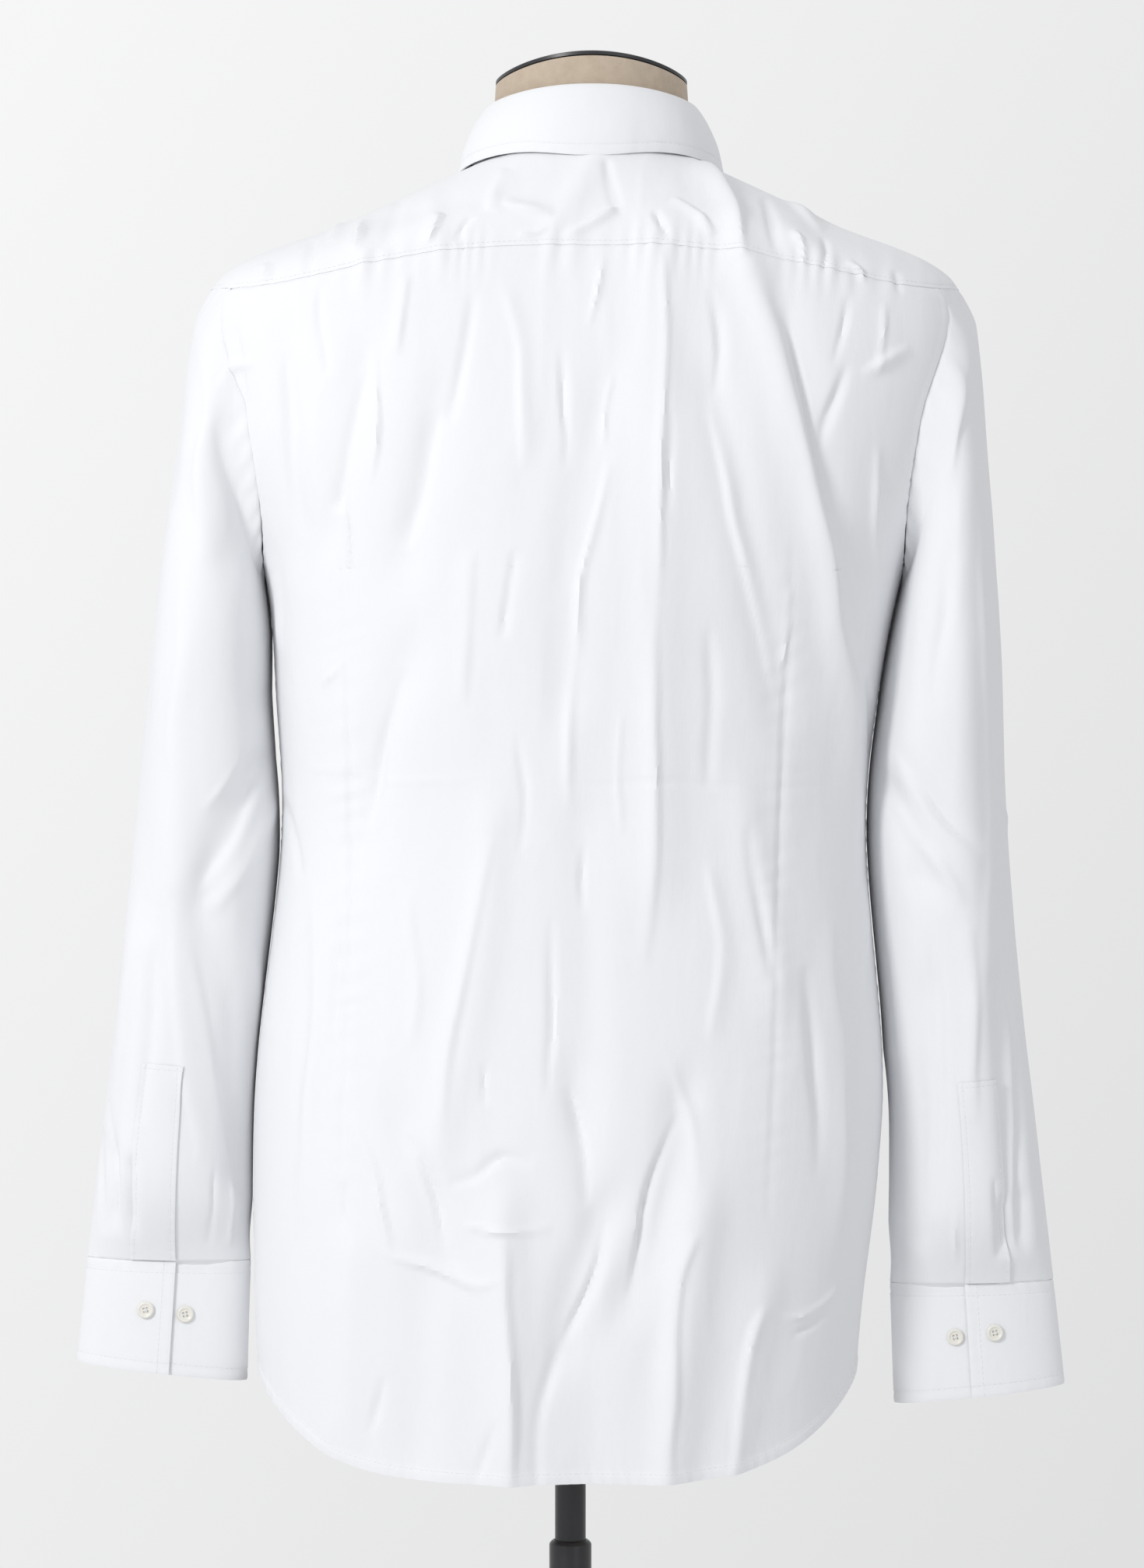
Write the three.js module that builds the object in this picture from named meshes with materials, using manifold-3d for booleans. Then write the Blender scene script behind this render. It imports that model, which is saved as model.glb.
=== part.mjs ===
// A plain long sleeve dress shirt, buttoned up, on a limbless dress form with a pole and a round base.
// Millimetres, +Z up. The origin is on the floor under the pole. The shirt's front faces -Y and the
// wearer's left is +X. Each piece of cloth is a wall worked out from the tables of levels below.

import * as THREE from 'three';
import { mergeVertices } from 'three/addons/utils/BufferGeometryUtils.js';
import Module from 'manifold-3d';

const wasm = await Module();
wasm.setup();

// Cloth and seams
const CLOTH = 1.2;
const BAND = 2.0;
const SEAM_GAP = 0.34;
const LAY_GAP = 0.35;

// Levels of the body, from the hem up: heights at the centre back, the sides and the centre front, reach to
// the side, back and front, squareness of the outline, shift to the wearer's left, dip between middle and
// side, and how late the height falls away towards the side.
const BODY = readTable(
  ['level', 'zBack', 'zSide', 'zFront', 'half', 'back', 'front', 'power', 'shift', 'dip', 'rise'],
  [
    ['hem', 722, 776, 742, 184, 128, 120, 2.3, 8, 0, 4],
    ['seat', 800, 820, 805, 187, 132, 122, 2.3, 7, 0, 2],
    ['hip', 890, 895, 890, 192, 133, 122, 2.3, 3, 0, 2],
    ['high hip', 968, 968, 968, 192, 130, 122, 2.3, 0, 0, 2],
    ['waist', 1100, 1100, 1100, 180, 122, 118, 2.3, -2, 0, 2],
    ['below armpit', 1185, 1185, 1185, 185, 126, 124, 2.3, -4, 0, 2],
    ['armpit', 1262, 1262, 1262, 196, 130, 128, 2.3, -8, 0, 2],
    ['chest', 1350, 1350, 1350, 222, 124, 112, 2.5, -8, 0, 2],
    ['shoulder', 1455, 1437, 1425, 230, 98, 92, 2.8, -9, 10, 2],
    ['crest', 1489, 1478, 1446, 150, 84, 86, 2.4, -11, 4, 2],
    ['neckline', 1520, 1512, 1462, 74, 64, 80, 2.1, -13, 0, 2],
  ],
);
const ARMPIT = 6;
const CHEST = 7;
const SHOULDER = 8;
const NECKLINE = 10;

// Armhole and seams
const ARMHOLE_BACK = 66;
const ARMHOLE_FRONT = 60;
const ARMHOLE_STEPS = 5;
const YOKE_END = THREE.MathUtils.degToRad(24);
const YOKE_END_COLUMNS = 3;
const BACK_COLUMNS = 24;
const FRONT_COLUMNS = 7;

// Front opening
const PLACKET_HALF = 17.5;
const UNDERLAP_EDGE = 15;
const UNDERLAP_INSET = 2.0;
const FRONT_LINES = [50, 32, PLACKET_HALF, 0];
const FRONT_BUTTON_HEIGHTS = [1405, 1310, 1215, 1120, 1025, 930];

// Folds in the body, as seen square on: a line from one place to another with a sideways bow, its width and
// its height, where a negative height is a trough.
const FOLD_COLUMNS = ['fold', 'fromX', 'fromZ', 'toX', 'toZ', 'bow', 'width', 'height'];
const BACK_FOLDS = readTable(FOLD_COLUMNS, [
  ['right blade', -109, 1435, -178, 1095, -9, 24, 5.5],
  ['beside right blade', -128, 1418, -150, 1315, 0, 20, -5],
  ['centre run', -52, 1450, -50, 1090, 0, 30, 5],
  ['beside centre run', -18, 1360, 4, 1190, 6, 26, -3.5],
  ['left blade', 122, 1382, 141, 1290, 0, 24, -4],
  ['left side', 170, 1395, 162, 1280, 0, 22, -3.5],
  ['left middle', 78, 1358, 98, 1270, 0, 24, -3.5],
  ['left waist', 98, 1203, 125, 1103, 4, 26, -4],
  ['right chest', -84, 1366, -123, 1188, 0, 24, -4],
  ['left of spine', 47, 1106, 78, 925, -6, 24, 4],
  ['small of back', -8, 1104, -10, 950, 0, 26, -3],
  ['right waist', -104, 1112, -121, 1014, 0, 24, 4],
  ['seat cross', -65, 944, -35, 834, -6, 22, -5],
  ['seat left', 98, 930, 73, 860, 0, 22, -4.5],
  ['seat middle', -2, 958, -12, 884, 0, 20, -3.5],
  ['seat drop', -21, 880, 6, 802, 4, 22, -5],
  ['hem ridge left', 40, 872, 36, 722, 0, 26, 7],
  ['hem ridge right', -74, 874, -57, 722, 0, 28, 8],
  ['hem hollow', -10, 800, -12, 722, 0, 34, -5],
  ['hem ridge far right', -114, 828, -95, 722, 0, 22, 4],
  ['hem hollow left', 88, 830, 92, 745, 0, 30, -4],
  ['hem ridge far left', 130, 850, 138, 752, 0, 26, 4],
]);
const YOKE_FOLDS = readTable(FOLD_COLUMNS, [
  ['pucker left', 126, 1470, 124, 1444, 0, 14, 2.5],
  ['pucker inner left', 82, 1478, 78, 1452, 0, 14, 2],
  ['pucker centre', -12, 1505, 8, 1468, 0, 16, 2.5],
  ['pucker right', -82, 1502, -102, 1448, -4, 18, 4.5],
  ['pucker far right', -136, 1462, -152, 1446, 0, 14, 2.5],
]);
const FRONT_FOLDS = readTable(FOLD_COLUMNS, [
  ['chest left', 96, 1392, 128, 1210, 8, 26, 4.5],
  ['chest left inner', 62, 1360, 70, 1180, 0, 24, -3.5],
  ['chest right', -104, 1388, -150, 1190, -8, 26, 5],
  ['chest right inner', -66, 1340, -84, 1150, 0, 24, -4],
  ['waist left', 112, 1150, 84, 980, 6, 26, -4.5],
  ['waist right', -98, 1130, -76, 960, 0, 26, -4],
  ['skirt left', 60, 1010, 78, 760, 0, 28, 5],
  ['skirt left outer', 122, 960, 130, 770, 0, 28, -5],
  ['skirt right', -70, 990, -62, 750, 0, 28, 5.5],
  ['skirt right outer', -116, 930, -122, 765, 0, 28, -5],
]);

// Sleeve levels, from the armhole down: outermost and innermost place from the middle plane and their
// heights, reach to the back and front, and shift to the wearer's left.
const SLEEVE = readTable(['level', 'outX', 'outZ', 'inX', 'inZ', 'back', 'front', 'shift'], [
  ['cap', 241, 1415, 200, 1252, 68, 64, -9],
  ['cap middle', 246, 1380, 198, 1236, 71, 67, -8],
  ['cap foot', 250, 1335, 195, 1216, 74, 70, -7],
  ['upper arm', 256, 1280, 192, 1194, 76, 70, -5],
  ['middle arm', 262, 1210, 190, 1160, 74, 68, -3.5],
  ['above elbow', 267, 1130, 187, 1105, 66, 62, -1],
  ['elbow', 273, 1060, 189, 1047, 58, 56, 0],
  ['forearm', 279, 1000, 196, 992, 54, 52, 0],
  ['lower forearm', 287, 935, 200, 930, 50, 48, 0],
  ['gathers', 293, 885, 200, 882, 44, 42, 0],
  ['cuff seam', 298, 843.6, 197.2, 841.6, 22.5, 21.5, 0],
]);
const SLEEVE_ROWS = [0, 1, 2, 3, 4, 4.5, 5, 5.5, 6, 6.5, 7, 7.5, 8, 8.5, 9, 9.5, 10];
const SLEEVE_SIDES = readTable(['side', 'sign', 'drop'], [
  ['left', 1, 0],
  ['right', -1, 14],
]);
const SLEEVE_FOLDS = {
  left_back: readTable(FOLD_COLUMNS, [
    ['armhole drag', 208, 1392, 205, 1275, -8, 16, -5],
    ['inner hollow', 188, 1330, 190, 1190, 0, 20, -4],
    ['long run', 236, 1330, 240, 1080, 6, 26, 4],
    ['elbow crease', 190, 1152, 222, 1070, 6, 16, -6],
    ['under elbow', 222, 1045, 206, 900, -6, 18, -5],
    ['forearm run', 262, 1030, 270, 900, 0, 20, 4],
    ['pleat outer', 279, 905, 281, 846, 0, 9, -4.5],
    ['pleat inner', 266, 900, 267, 846, 0, 8, -4],
  ]),
  right_back: readTable(FOLD_COLUMNS, [
    ['armhole drag', -216, 1396, -214, 1300, -6, 16, 5],
    ['armhole hollow', -203, 1390, -200, 1260, 0, 16, -6],
    ['long run', -240, 1320, -247, 1015, 4, 24, 4],
    ['elbow crease', -186, 1150, -214, 1084, -6, 16, -6],
    ['outer forearm', -262, 1016, -268, 858, 0, 14, -5.5],
    ['inner forearm', -216, 1010, -212, 880, 0, 20, -4],
    ['pleat outer', -277, 892, -279, 834, 0, 9, -4.5],
    ['pleat inner', -263, 888, -264, 834, 0, 8, -4],
  ]),
  left_front: readTable(FOLD_COLUMNS, [
    ['armhole drag', 212, 1380, 216, 1270, 6, 18, -5],
    ['elbow crease', 250, 1140, 200, 1085, 0, 16, -6],
    ['elbow fold', 258, 1090, 204, 1040, 0, 16, 4],
    ['forearm run', 236, 1020, 244, 880, 0, 22, -5],
  ]),
  right_front: readTable(FOLD_COLUMNS, [
    ['armhole drag', -216, 1376, -214, 1262, 6, 18, -5],
    ['elbow crease', -252, 1128, -202, 1076, 0, 16, -6],
    ['elbow fold', -256, 1080, -204, 1030, 0, 16, 4],
    ['forearm run', -238, 1012, -246, 870, 0, 22, -5],
  ]),
};

// Cuffs: outer and inner edge, at the seam and at the bottom. The strip starts inside its own lapped end,
// which lies on the back of the arm.
const CUFF = readTable(['level', 'outX', 'outZ', 'inX', 'inZ', 'back', 'front', 'shift'], [
  ['seam', 298, 843, 197.2, 841, 22, 21, 0],
  ['bottom', 305, 779, 199.5, 767, 23, 21, 0],
]);
const CUFF_ROWS = [0, 0.5, 1];
const CUFF_COLUMNS = 28;
const CUFF_UNDERLAP = THREE.MathUtils.degToRad(45);
const CUFF_EDGE = THREE.MathUtils.degToRad(97);
const CUFF_BLEND_END = THREE.MathUtils.degToRad(150);
const CUFF_INSET = BAND + 0.6;
const CUFF_BUTTON_ANGLES = [78.7, 105.8].map(THREE.MathUtils.degToRad);
const CUFF_BUTTON_LEVELS = [0.44, 0.46];
const SLIT_COLUMN = 6;
const SLIT_BAND_COLUMNS = 2;
const SLIT_BAND_FIRST_ROW = 7.5;

// Collar: the stand's outer face at the neck seam and at its top, in the same columns as the body
const STAND = readTable(
  ['level', 'zBack', 'zSide', 'zFront', 'half', 'back', 'front', 'power', 'shift', 'dip', 'rise'],
  [
    ['neck seam', 1520.7, 1512.7, 1463.4, 74.3, 64.3, 80.3, 2.1, -13, 0, 2],
    ['top', 1553.5, 1546.5, 1493, 64.4, 60.4, 70.4, 2.1, -13, 0, 2],
  ],
);
const STAND_OVERLAP = THREE.MathUtils.degToRad(-104);
const STAND_UNDERLAP = THREE.MathUtils.degToRad(282);
const STAND_INSET = BAND + 0.6;
const COLLAR_COLUMNS = 36;
const FALL_TOP_END = THREE.MathUtils.degToRad(-87);
const FALL_POINT_ANGLE = THREE.MathUtils.degToRad(-60);
// The crown's places over the stand's top edge, and the shares of the way from there to the outer edge
const CROWN = readTable(['place', 'out', 'up'], [
  ['inner lip', -1.6, 2.9],
  ['top', 0.7, 2.9],
  ['turn', 2.6, 0.9],
]);
const FALL_SHARES = [0.12, 0.38, 0.7, 1];
const FALL_BULGE = 4;
const FALL_CLEAR = 4;
// Reach of the fall's outer edge from the neck's middle, every 30 degrees from centre back to the point
const FALL_EDGE = readTable(['angle', 'reach'], [
  [90, 70], [60, 72], [30, 76.5], [0, 81.4], [-30, 88], [-60, 101],
]);

// Buttons
const BUTTON_RADIUS = 5.25;
const BUTTON_SIDES = 12;
const BUTTON_PROFILE = [[0, 0], [4.2, 0], [BUTTON_RADIUS, 1], [BUTTON_RADIUS, 2], [4.2, 2.6], [0, 2.6]];

// Dress form: its own levels below the shoulders, then the cloth's levels moved in, then the neck
const FORM_INSET = 2.0;
const FORM_FRONT_INSET = 4.4;
const FORM_LOWER = readTable(
  ['level', 'zBack', 'zSide', 'zFront', 'half', 'back', 'front', 'power', 'shift', 'dip', 'rise'],
  [
    ['base', 790, 790, 790, 138, 86, 80, 2.2, 6, 0, 2],
    ['base edge', 797, 797, 797, 150, 96, 90, 2.3, 6, 0, 2],
    ['seat', 870, 870, 870, 158, 102, 95, 2.3, 4, 0, 2],
    ['hip', 980, 980, 980, 150, 98, 91, 2.3, 1, 0, 2],
    ['waist', 1100, 1100, 1100, 134, 90, 84, 2.3, -2, 0, 2],
    ['ribs', 1200, 1200, 1200, 146, 98, 94, 2.3, -4, 0, 2],
    ['chest', 1290, 1290, 1290, 162, 104, 102, 2.3, -7, 0, 2],
    ['upper chest', 1370, 1370, 1370, 176, 103, 97, 2.4, -8, 0, 2],
    ['shoulder blade', 1415, 1412, 1405, 194, 98, 90, 2.6, -8.5, 0, 2],
  ],
);
const FORM_SHOULDER_LEVELS = [8.5, 9, 9.5];
const FORM_NECK = readTable(
  ['level', 'zBack', 'zSide', 'zFront', 'half', 'back', 'front', 'power', 'shift', 'dip', 'rise'],
  [
    ['neck base', 1519, 1511.5, 1461, 69.5, 59.5, 75.5, 2.1, -13, 0, 2],
    ['neck middle', 1545, 1540, 1497, 61.5, 56.5, 64, 2, -13, 0, 2],
    ['neck top', 1574, 1564, 1554, 59, 57, 61, 2, -13, 0, 2],
  ],
);
const CAP_THICKNESS = 3;

// Pole, stand and base
const ROUND_SIDES = 20;
const POLE_RADIUS = 9.5;
const POLE_WALL = 1.5;
const POLE_BOTTOM = 340;
const POLE_TOP = 800;
const LOWER_RADIUS = 11;
const LOWER_TOP = 655;
const RUN_GAP = 0.35;
const CLAMP_RADIUS = 13;
const CLAMP_BOTTOM = 627;
const CLAMP_TOP = 668;
const CLAMP_NECK = 656;
const SCREW_HEIGHT = 642;
const SCREW_RADIUS = 2.5;
const SCREW_LENGTH = 14;
const WING = { length: 12, width: 5, height: 15 };
const BASE_RADIUS = 170;
const BASE_THICKNESS = 8;
const BOSS_RADIUS = 20;
const BOSS_TOP = 34;
const SOCKET_FLOOR = 5;

// Materials
const shirting = new THREE.MeshStandardMaterial({ color: 0xeef0f4, roughness: 0.85 });
const linen = new THREE.MeshStandardMaterial({ color: 0xb79f83, roughness: 0.95 });
const pearl = new THREE.MeshStandardMaterial({ color: 0xf2eee4, roughness: 0.35 });
const darkMetal = new THREE.MeshStandardMaterial({ color: 0x1c1c1e, roughness: 0.4, metalness: 0.6 });
const bright = new THREE.MeshStandardMaterial({ color: 0x8d9094, roughness: 0.25, metalness: 1 });

const shirt = new THREE.Group();

function readTable(columns, rows) {
  return rows.map((row) => Object.fromEntries(columns.map((column, index) => [column, row[index]])));
}

function addPiece(name, geometry, material) {
  const piece = new THREE.Mesh(geometry, material);
  piece.name = name;
  shirt.add(piece);
  return piece;
}

// A smooth curve through one column of a table, at a level that may lie between two rows
function columnAt(table, column, level) {
  const last = table.length - 1;
  const row = THREE.MathUtils.clamp(Math.floor(level), 0, last - 1);
  const value = (index) => {
    if (index < 0) return 2 * table[0][column] - table[1][column];
    if (index > last) return 2 * table[last][column] - table[last - 1][column];
    return table[index][column];
  };
  const t = level - row;
  const start = value(row);
  const end = value(row + 1);
  const startSlope = (end - value(row - 1)) / 2;
  const endSlope = (value(row + 2) - start) / 2;
  const rise = end - start;
  const bend = 3 * rise - 2 * startSlope - endSlope;
  const twist = startSlope + endSlope - 2 * rise;
  return start + t * (startSlope + t * (bend + t * twist));
}

function signedPower(value, exponent) {
  return Math.sign(value) * Math.abs(value) ** exponent;
}

// A place on a level's outline: angle 0 is the wearer's left side and 90 degrees the centre back
function ringPoint(table, angle, level) {
  const at = (column) => columnAt(table, column, level);
  const sideways = Math.cos(angle);
  const backward = Math.sin(angle);
  const corner = 2 / at('power');
  const behind = backward >= 0;
  const depth = behind ? at('back') : at('front');
  const middle = behind ? at('zBack') : at('zFront');
  const side = at('zSide');
  const climb = (middle - side) * (1 - Math.abs(sideways) ** at('rise'));
  return new THREE.Vector3(
    at('shift') + at('half') * signedPower(sideways, corner),
    depth * signedPower(backward, corner),
    side + climb - at('dip') * (2 * sideways * backward) ** 2,
  );
}

function ringNormal(table, angle, level) {
  const turn = 0.01;
  const step = 0.02;
  const top = table.length - 1;
  const along = ringPoint(table, angle + turn, level).sub(ringPoint(table, angle - turn, level));
  const above = ringPoint(table, angle, Math.min(level + step, top));
  const up = above.sub(ringPoint(table, angle, Math.max(level - step, 0)));
  return along.cross(up).normalize();
}

// Height of all folds at a place seen square on
function foldHeight(folds, x, z) {
  let height = 0;
  for (const fold of folds) {
    const runX = fold.toX - fold.fromX;
    const runZ = fold.toZ - fold.fromZ;
    const length = Math.hypot(runX, runZ);
    const along = ((x - fold.fromX) * runX + (z - fold.fromZ) * runZ) / length;
    const share = THREE.MathUtils.clamp(along / length, 0, 1);
    const beyond = along - share * length;
    const across = ((x - fold.fromX) * runZ - (z - fold.fromZ) * runX) / length;
    const offset = across + fold.bow * 4 * share * (1 - share);
    height += fold.height * Math.exp(-(offset ** 2 + beyond ** 2 / 4) / (fold.width / 2) ** 2);
  }
  return height;
}

// The body's cloth with its folds, which fade out towards the side seams
function bodyCloth(angle, level) {
  const point = ringPoint(BODY, angle, level);
  const normal = ringNormal(BODY, angle, level);
  const folds = point.y < 0 ? FRONT_FOLDS : BACK_FOLDS.concat(YOKE_FOLDS);
  const fade = THREE.MathUtils.smoothstep(Math.abs(point.y), 20, 70);
  point.addScaledVector(normal, fade * foldHeight(folds, point.x, point.z));
  return { point, normal };
}

// Angles that share out a stretch of a level's outline evenly
function evenAngles(table, level, from, to, count) {
  const samples = 80;
  const angles = [];
  const lengths = [0];
  for (let index = 0; index <= samples; index += 1) {
    angles.push(THREE.MathUtils.lerp(from, to, index / samples));
  }
  const points = angles.map((angle) => ringPoint(table, angle, level));
  for (let index = 1; index <= samples; index += 1) {
    lengths.push(lengths[index - 1] + points[index].distanceTo(points[index - 1]));
  }
  const result = [];
  for (let step = 0; step <= count; step += 1) {
    const target = (lengths[samples] * step) / count;
    let index = 1;
    while (index < samples && lengths[index] < target) index += 1;
    const part = (target - lengths[index - 1]) / (lengths[index] - lengths[index - 1]);
    result.push(THREE.MathUtils.lerp(angles[index - 1], angles[index], part));
  }
  return result;
}

// The angle at which a line at a given distance from the middle crosses the front of a level
function frontAngle(level, fromMiddle) {
  const corner = 2 / columnAt(BODY, 'power', level);
  const turn = Math.acos((Math.abs(fromMiddle) / columnAt(BODY, 'half', level)) ** (1 / corner));
  return fromMiddle >= 0 ? -turn : turn - Math.PI;
}

// The armhole's edge, as an angle from the side, at a level above the armpit
function armholeAngle(level, behind) {
  if (level <= ARMPIT) return 0;
  if (level >= SHOULDER) return YOKE_END;
  const column = behind ? 'back' : 'front';
  const widest = behind ? ARMHOLE_BACK : ARMHOLE_FRONT;
  const reachAt = (place) => Math.abs(ringPoint(BODY, behind ? YOKE_END : -YOKE_END, place).y);
  const rise = level - ARMPIT;
  const round = widest * Math.sqrt(Math.min(rise * (2 - rise), 1));
  const blend = THREE.MathUtils.smoothstep(level, CHEST, SHOULDER);
  const reach = level <= CHEST ? round : THREE.MathUtils.lerp(widest, reachAt(SHOULDER), blend);
  return Math.asin((reach / columnAt(BODY, column, level)) ** (columnAt(BODY, 'power', level) / 2));
}

function levelSteps(from, to, count) {
  return Array.from({ length: count }, (unused, index) => from + ((to - from) * (index + 1)) / count);
}

function bodyLevels() {
  const steps = [2, 3, 2, 4, 2, 2];
  const levels = [0];
  steps.forEach((count, level) => levels.push(...levelSteps(level, level + 1, count)));
  for (let step = 1; step <= ARMHOLE_STEPS; step += 1) {
    levels.push(ARMPIT + 1 - Math.cos((step / ARMHOLE_STEPS) * (Math.PI / 2)));
  }
  return levels.concat(levelSteps(CHEST, SHOULDER, 3));
}

const LOWER_LEVELS = bodyLevels();
const YOKE_LEVELS = [8, 8.5, 9, 9.5, 10];
const ARMPIT_ROW = LOWER_LEVELS.indexOf(ARMPIT);
const SHOULDER_ROW = LOWER_LEVELS.length - 1;

// A grid of points and of directions out of the cloth: rows go up the body, columns round it
function bodyGrid(levels, anglesAt, insets = []) {
  const grid = { points: [], normals: [] };
  for (const level of levels) {
    const cloth = anglesAt(level).map((angle) => bodyCloth(angle, level));
    cloth.forEach(({ point, normal }, column) => point.addScaledVector(normal, -(insets[column] ?? 0)));
    grid.points.push(cloth.map(({ point }) => point));
    grid.normals.push(cloth.map(({ normal }) => normal));
  }
  return grid;
}

function backAngles(level) {
  const edge = armholeAngle(level, true);
  return evenAngles(BODY, level, edge, Math.PI - edge, BACK_COLUMNS);
}

function yokeAngles(level) {
  const end = evenAngles(BODY, level, -YOKE_END, YOKE_END, 2 * YOKE_END_COLUMNS);
  const middle = evenAngles(BODY, level, YOKE_END, Math.PI - YOKE_END, BACK_COLUMNS);
  const farEnd = evenAngles(BODY, level, Math.PI - YOKE_END, Math.PI + YOKE_END, 2 * YOKE_END_COLUMNS);
  return [...end, ...middle.slice(1), ...farEnd.slice(1)];
}

// From the side seam or armhole to the lapped edge beyond the middle
function frontAngles(level, lap) {
  const side = -armholeAngle(level, false);
  const outer = evenAngles(BODY, level, side, frontAngle(level, FRONT_LINES[0]), FRONT_COLUMNS);
  const lines = FRONT_LINES.slice(1).concat(-lap);
  return outer.concat(lines.map((line) => frontAngle(level, line)));
}

const ALL_LEVELS = LOWER_LEVELS.concat(YOKE_LEVELS.slice(1));
const underlapInsets = [
  ...Array(FRONT_COLUMNS + 1).fill(0),
  UNDERLAP_INSET / 2,
  ...Array(FRONT_LINES.length - 1).fill(UNDERLAP_INSET),
];
const grids = {
  back: bodyGrid(LOWER_LEVELS, backAngles),
  yoke: bodyGrid(YOKE_LEVELS, yokeAngles),
  front_left: bodyGrid(ALL_LEVELS, (level) => frontAngles(level, PLACKET_HALF)),
  front_right: bodyGrid(
    ALL_LEVELS,
    (level) => frontAngles(level, UNDERLAP_EDGE).map((angle) => Math.PI - angle),
    underlapInsets,
  ),
};

// Directions out of a grid, from its neighbouring points
function gridNormals(points, closed, sign) {
  const rows = points.length;
  const columns = points[0].length;
  return points.map((row, r) => row.map((point, c) => {
    const down = points[Math.min(r + 1, rows - 1)][c].clone().sub(points[Math.max(r - 1, 0)][c]);
    const before = closed ? (c + columns - 1) % columns : Math.max(c - 1, 0);
    const after = closed ? (c + 1) % columns : Math.min(c + 1, columns - 1);
    const along = row[after].clone().sub(row[before]);
    return down.cross(along).multiplyScalar(sign).normalize();
  }));
}

function geometryFrom(positions, faces) {
  const geometry = new THREE.BufferGeometry();
  geometry.setAttribute('position', new THREE.Float32BufferAttribute(positions, 3));
  geometry.setIndex(faces);
  let volume = 0;
  const corner = [new THREE.Vector3(), new THREE.Vector3(), new THREE.Vector3()];
  for (let index = 0; index < faces.length; index += 3) {
    corner.forEach((point, k) => point.fromArray(positions, 3 * faces[index + k]));
    volume += corner[0].dot(corner[1].clone().cross(corner[2]));
  }
  if (volume < 0) geometry.setIndex(faces.slice().reverse());
  geometry.computeVertexNormals();
  return geometry;
}

// A wall of cloth whose outer face is the grid, closed round its columns or with an edge on all four sides
function wall(grid, thickness, closed = false) {
  const rows = grid.points.length;
  const columns = grid.points[0].length;
  const positions = [];
  for (const depth of [0, thickness]) {
    grid.points.forEach((row, r) => row.forEach((point, c) => {
      positions.push(...point.clone().addScaledVector(grid.normals[r][c], -depth).toArray());
    }));
  }
  const inner = rows * columns;
  const at = (r, c, side) => side * inner + r * columns + (c % columns);
  const faces = [];
  const quad = (a, b, c, d) => faces.push(a, b, c, a, c, d);
  const spans = closed ? columns : columns - 1;
  for (let r = 0; r < rows - 1; r += 1) {
    for (let c = 0; c < spans; c += 1) {
      quad(at(r, c, 0), at(r, c + 1, 0), at(r + 1, c + 1, 0), at(r + 1, c, 0));
      quad(at(r, c, 1), at(r + 1, c, 1), at(r + 1, c + 1, 1), at(r, c + 1, 1));
    }
  }
  for (let c = 0; c < spans; c += 1) {
    quad(at(0, c, 0), at(0, c, 1), at(0, c + 1, 1), at(0, c + 1, 0));
    quad(at(rows - 1, c, 0), at(rows - 1, c + 1, 0), at(rows - 1, c + 1, 1), at(rows - 1, c, 1));
  }
  if (!closed) {
    const end = columns - 1;
    for (let r = 0; r < rows - 1; r += 1) {
      quad(at(r, 0, 0), at(r + 1, 0, 0), at(r + 1, 0, 1), at(r, 0, 1));
      quad(at(r, end, 0), at(r, end, 1), at(r + 1, end, 1), at(r + 1, end, 0));
    }
  }
  return geometryFrom(positions, faces);
}

// Part of a grid, moved out of the cloth by a distance
function layer(grid, rows, columns, distance) {
  const pick = (list) => list.slice(...rows).map((row) => row.slice(...columns));
  const normals = pick(grid.normals);
  const points = pick(grid.points).map((row, r) => row.map((point, c) => (
    point.clone().addScaledVector(normals[r][c], distance)
  )));
  return { points, normals };
}

// A two-ended level of a sleeve or cuff: angle 0 is the outer side, 90 degrees the back
function tubePoint(table, side, angle, level) {
  const at = (column) => columnAt(table, column, level);
  const outward = (1 + Math.cos(angle)) / 2;
  const depth = Math.sin(angle) >= 0 ? at('back') : at('front');
  return new THREE.Vector3(
    side.sign * THREE.MathUtils.lerp(at('inX'), at('outX'), outward) + at('shift'),
    depth * Math.sin(angle),
    THREE.MathUtils.lerp(at('inZ'), at('outZ'), outward),
  );
}

// The armhole's edge as places in the panels, from the top of the shoulder over the back to the front
function armholePlaces(side) {
  const left = side.sign > 0;
  const yokeEnd = grids.yoke.points[0].length - 1;
  const yokePlace = (step) => {
    const column = left ? YOKE_END_COLUMNS + step : yokeEnd - YOKE_END_COLUMNS - step;
    return { grid: grids.yoke, row: 0, column, inner: [1, column] };
  };
  const panelPlace = (grid, row, column, next) => {
    const inner = row === ARMPIT_ROW ? [row - 1, column] : [row, next];
    return { grid, row, column, inner };
  };
  const backColumn = left ? 0 : BACK_COLUMNS;
  const front = left ? grids.front_left : grids.front_right;
  const backPlace = (row) => panelPlace(grids.back, row, backColumn, left ? 1 : BACK_COLUMNS - 1);
  const frontPlace = (row) => panelPlace(front, row, 0, 1);
  const places = [];
  for (let step = 0; step < YOKE_END_COLUMNS; step += 1) places.push([yokePlace(step)]);
  places.push([yokePlace(YOKE_END_COLUMNS), backPlace(SHOULDER_ROW)]);
  for (let row = SHOULDER_ROW - 1; row > ARMPIT_ROW; row -= 1) places.push([backPlace(row)]);
  places.push([backPlace(ARMPIT_ROW), frontPlace(ARMPIT_ROW)]);
  for (let row = ARMPIT_ROW + 1; row < SHOULDER_ROW; row += 1) places.push([frontPlace(row)]);
  places.push([yokePlace(-YOKE_END_COLUMNS), frontPlace(SHOULDER_ROW)]);
  for (let step = YOKE_END_COLUMNS - 1; step > 0; step -= 1) places.push([yokePlace(-step)]);
  return places;
}

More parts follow.
